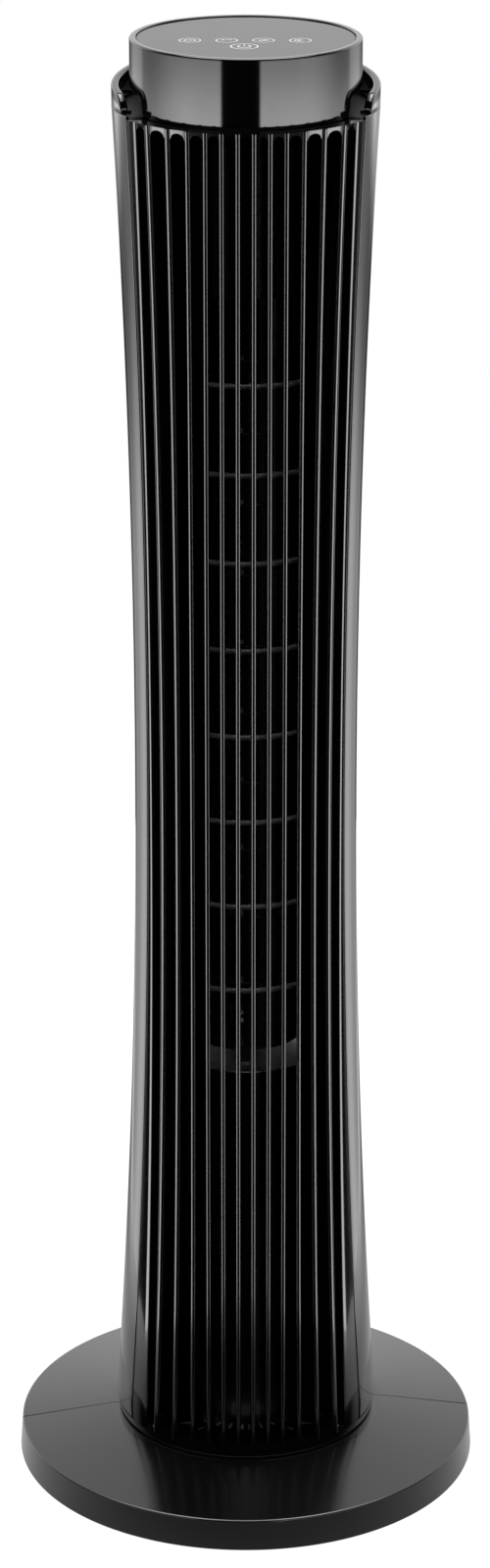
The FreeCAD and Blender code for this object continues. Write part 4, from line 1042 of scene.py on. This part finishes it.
def icon_set():
    """Rings with plain symbols: a clock, a swing arrow, three waves, a moon, and the power mark."""
    shapes = [band(arc(x, ICON_ROW, 0.0066), LINE, True) for x in ICON_X]
    shapes.append(band(arc(*POWER, 0.0084), LINE * 1.2, True))
    clock, swing, speed, moon = ICON_X
    shapes.append(band(arc(clock, ICON_ROW, 0.0034), LINE, True))
    hands = [(clock, ICON_ROW + 0.002), (clock, ICON_ROW), (clock + 0.0014, ICON_ROW - 0.0007)]
    shapes.append(band(hands, LINE))
    shapes.append(band(arc(swing, ICON_ROW - 0.001, 0.0034, 25, 155, 24, False), LINE))
    for side in (-1, 1):
        tip = np.array([swing + side * 0.0031, ICON_ROW + 0.0004])
        shapes.append(band([tip + (side * -0.0003, 0.0015), tip, tip + (side * -0.0016, 0.0001)], LINE))
    wave = np.linspace(-0.0032, 0.0032, 24)
    for lift in (-0.0018, 0, 0.0018):
        crest = ICON_ROW + lift + 0.0005 * np.sin(wave / 0.001)
        shapes.append(band(np.stack([speed + wave, crest], -1), LINE))
    outer = arc(moon, ICON_ROW, 0.0034, 60, 300, 30, False)
    inner = arc(moon + 0.0019, ICON_ROW, 0.0031, 285, 75, 24, False)
    shapes.append(band(np.vstack([outer, inner[1:-1]]), LINE, True))
    shapes.append(band(arc(*POWER, 0.0039, 125, 415, 40, False), LINE * 1.3))
    shapes.append(band([(POWER[0], POWER[1] + 0.0012), (POWER[0], POWER[1] + 0.0048)], LINE * 1.3))
    points, faces = join_shapes(shapes)
    piece = add_mesh("icon_marks", points, faces, icon_print_and_glow, "column")


icon_set()

# %% [markdown]
# The dark neck between the body and the head stands on a flat deck. Both are turned; the deck is wider
# behind, where the shell is thin, so it is two turns of the same outline.

# %% Neck and deck
NECK_RADIUS = 0.0653
NECK_WALL, NECK_LAP = 0.003, 0.004


def neck():
    """Three turned shapes in one piece: the deck, its wider rear part and the neck's tube."""
    front = NECK_RADIUS
    low, high = DECK_LOW[2], DECK_TOP
    disc = lathe([(1e-6, low), (front, low), (front, high), (1e-6, high)], 160)
    wide = DECK_HIGH[1]
    lapped = front - NECK_LAP
    rear = lathe([(lapped, low + 1e-5), (wide, low + 1e-5), (wide, high - 1e-5), (lapped, high - 1e-5)],
                 120, math.radians(-25), math.radians(230))
    inner, foot = front - NECK_WALL, high - 0.001
    tube = lathe(rounded([(inner, foot), (front, foot), (front, HEAD_BOTTOM), (inner, HEAD_BOTTOM)],
                         [0, 0, 0.0003, 0.0003], 3), 192)
    points, faces = join_shapes([disc, rear, tube])
    piece = add_mesh("neck_deck", points, faces, satin_plastic, "column")
    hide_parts("top_deck")


neck()

# %% [markdown]
# Polished black shows nothing but what it mirrors, so the studio is made for the mirrors. The world's
# light depends on the direction: bright behind, soft boxes at both sides, a roof above, and dark in
# front. The camera itself sees plain white. A strip of pale floor, also white to the camera, stands
# under the fan, and one wide soft light hangs over it.

# %% Studio
def studio_world():
    """White to the camera. To everything else: bright behind, grey at the sides, dark in front, and
    two soft boxes whose lower edge stands just under the head's line of reflection."""
    world = bpy.data.worlds.new("studio")
    bpy.context.scene.world = world
    world.use_nodes = True
    world.node_tree.nodes.clear()
    sky = Graph(world.node_tree)
    parts = sky.node("ShaderNodeTexCoord", output="Generated")
    split = sky.node("ShaderNodeSeparateXYZ", {}, {0: parts})
    x, y, z = (Wire(sky, split.socket.node.outputs[k]) for k in range(3))
    plan = sky.node("ShaderNodeCombineXYZ", {}, {0: x, 1: y, 2: 0.0})
    unit = sky.node("ShaderNodeVectorMath", {"operation": "NORMALIZE"}, {0: plan})
    turn = Wire(sky, sky.node("ShaderNodeSeparateXYZ", {}, {0: unit}).socket.node.outputs[1])
    cards = turn.ramp(*CARD_EDGE) * turn.ramp(*CARD_FADE) * turn.ramp(*CARD_END) * z.ramp(*CARD_TOP)
    backdrop = y.ramp(*BACKDROP) * z.ramp(*BACKDROP_FOOT) * z.ramp(*BACKDROP_FADE)
    edges = 0
    for side, gap in ((-1, GAP_LEFT), (1, GAP_RIGHT)):
        inward = x * (side * math.cos(gap)) + y * math.sin(gap)
        edges = inward.ramp(0.0, BOX_SOFT) + edges
    box_height = z.ramp(*BOX_FLOOR) * z.ramp(*BOX_FADE) * z.ramp(*BOX_TOP)
    boxes = edges * y.ramp(*BOX_BACK) * y.ramp(*BOX_SIDE) * box_height
    roof = z.ramp(*ROOF) * ROOF_GLOW
    strips = turn.ramp(*STRIP_EDGE) * turn.ramp(*STRIP_END) * z.ramp(*STRIP_LOW) * z.ramp(*STRIP_HIGH)
    light = (cards * CARD_GLOW + backdrop * BACKDROP_GLOW + boxes * BOX_GLOW + strips * STRIP_GLOW
             + roof + FRONT_GLOW)
    path = sky.node("ShaderNodeLightPath", output="Is Camera Ray")
    strength = sky.node("ShaderNodeMix", {}, {0: path, 2: light, 3: 1.0})
    glow = sky.node("ShaderNodeBackground", {}, {"Color": (1, 1, 1, 1), "Strength": strength})
    sky.node("ShaderNodeOutputWorld", {}, {0: glow})


CARD_EDGE, CARD_FADE = (0.50, 0.60), (0.62, 0.88, 1.0, 0.32)
CARD_END, CARD_TOP, CARD_GLOW = (0.90, 0.98, 1.0, 0.05), (-0.312, -0.262, 1.0, 0.3), 1.68
BACKDROP, BACKDROP_FOOT = (0.1, 0.5), (-0.06, 0.04)
BACKDROP_FADE, BACKDROP_GLOW = (0.1, 0.7, 1.0, 0.75), 0.92
BOX_BACK, BOX_TOP, BOX_SOFT = (0.80, 0.93, 1.0, 0.15), (0.1, 0.0), 0.05
BOX_SIDE, BOX_FLOOR = (-0.6, 0.45, 1.0, 0.3), (-0.25, -0.224)
BOX_FADE, BOX_GLOW = (-0.193, -0.2095, 0.28, 1.0), 5.6
GAP_LEFT, GAP_RIGHT = math.radians(23), math.radians(12.6)
ROOF, ROOF_GLOW = (0.78, 0.86), 3.2
FRONT_GLOW = 0.0032
STRIP_EDGE, STRIP_END = (-0.58, -0.52), (0.0, 0.06, 1.0, 0.0)
STRIP_LOW, STRIP_HIGH, STRIP_GLOW = (-0.42, -0.38), (-0.26, -0.225, 1.0, 0.0), 6.5
studio_world()


FLOOR_EDGE, FLOOR_SIDE = (0.045, 0.115), (1.0, 1.0, 1.0, 1)


def pale_floor():
    """A white strip under and behind the fan; the dark floor in front is left out of the mirrors."""
    mesh = bpy.data.meshes.new("studio_floor")
    side, front, back = 0.34, -0.24, 1.2
    mesh.from_pydata([(-side, front, 0), (side, front, 0), (side, back, 0), (-side, back, 0)], [],
                     [(0, 1, 2, 3)])
    finish = Finish("studio_floor", (0.05, 0.05, 0.05), 0.9)
    path = finish.node("ShaderNodeLightPath", output="Is Camera Ray")
    spot = finish.node("ShaderNodeTexCoord", output="Object")
    far = finish.node("ShaderNodeVectorMath", {"operation": "LENGTH"}, {0: spot}, 1)
    split = finish.node("ShaderNodeSeparateXYZ", {}, {0: spot}, 1)
    near = split.ramp(-0.21, -0.06, 0.07, 0.36)
    dim = finish.mix(far.ramp(0.25, 0.5), near, (0.05, 0.05, 0.05, 1))
    beside = Wire(finish, split.socket.node.outputs[0])
    dim = finish.mix((beside * beside).ramp(*FLOOR_EDGE), dim, FLOOR_SIDE)
    finish.set("Emission Color", finish.mix(path, dim, (1, 1, 1, 1)))
    finish.shader.inputs["Emission Strength"].default_value = 1.0
    mesh.materials.append(finish.material)
    floor = bpy.data.objects.new("studio_floor", mesh)
    bpy.context.scene.collection.objects.link(floor)


pale_floor()


def soft_top():
    """A wide soft light above: it puts the fine bright line on every edge that faces up."""
    lamp = bpy.data.lights.new("soft_top", "AREA")
    lamp.shape = "RECTANGLE"
    lamp.size, lamp.size_y = 1.4, 1.0
    lamp.energy = 14
    thing = bpy.data.objects.new("soft_top", lamp)
    thing.location = (0, 0.25, 2.3)
    bpy.context.scene.collection.objects.link(thing)


soft_top()

# %% [markdown]
# A long lens from a little above the fan: the top of the head and the whole base are both in view. The
# Standard view transform keeps white at white and black at black.

# %% Camera
CAMERA_PLACE = (-0.00055, -2.8076, 1.5224)
CAMERA_PITCH = math.radians(90 - 20.270)


def studio_camera():
    """A long lens, so that the column's sides stay nearly parallel in the picture."""
    camera = bpy.data.cameras.new("camera")
    camera.sensor_fit = "AUTO"
    camera.sensor_width = 36
    camera.lens = 104.455
    thing = bpy.data.objects.new("camera", camera)
    thing.location = CAMERA_PLACE
    thing.rotation_euler = (CAMERA_PITCH, 0, 0)
    bpy.context.scene.collection.objects.link(thing)
    bpy.context.scene.camera = thing


studio_camera()
bpy.context.scene.view_settings.view_transform = "Standard"
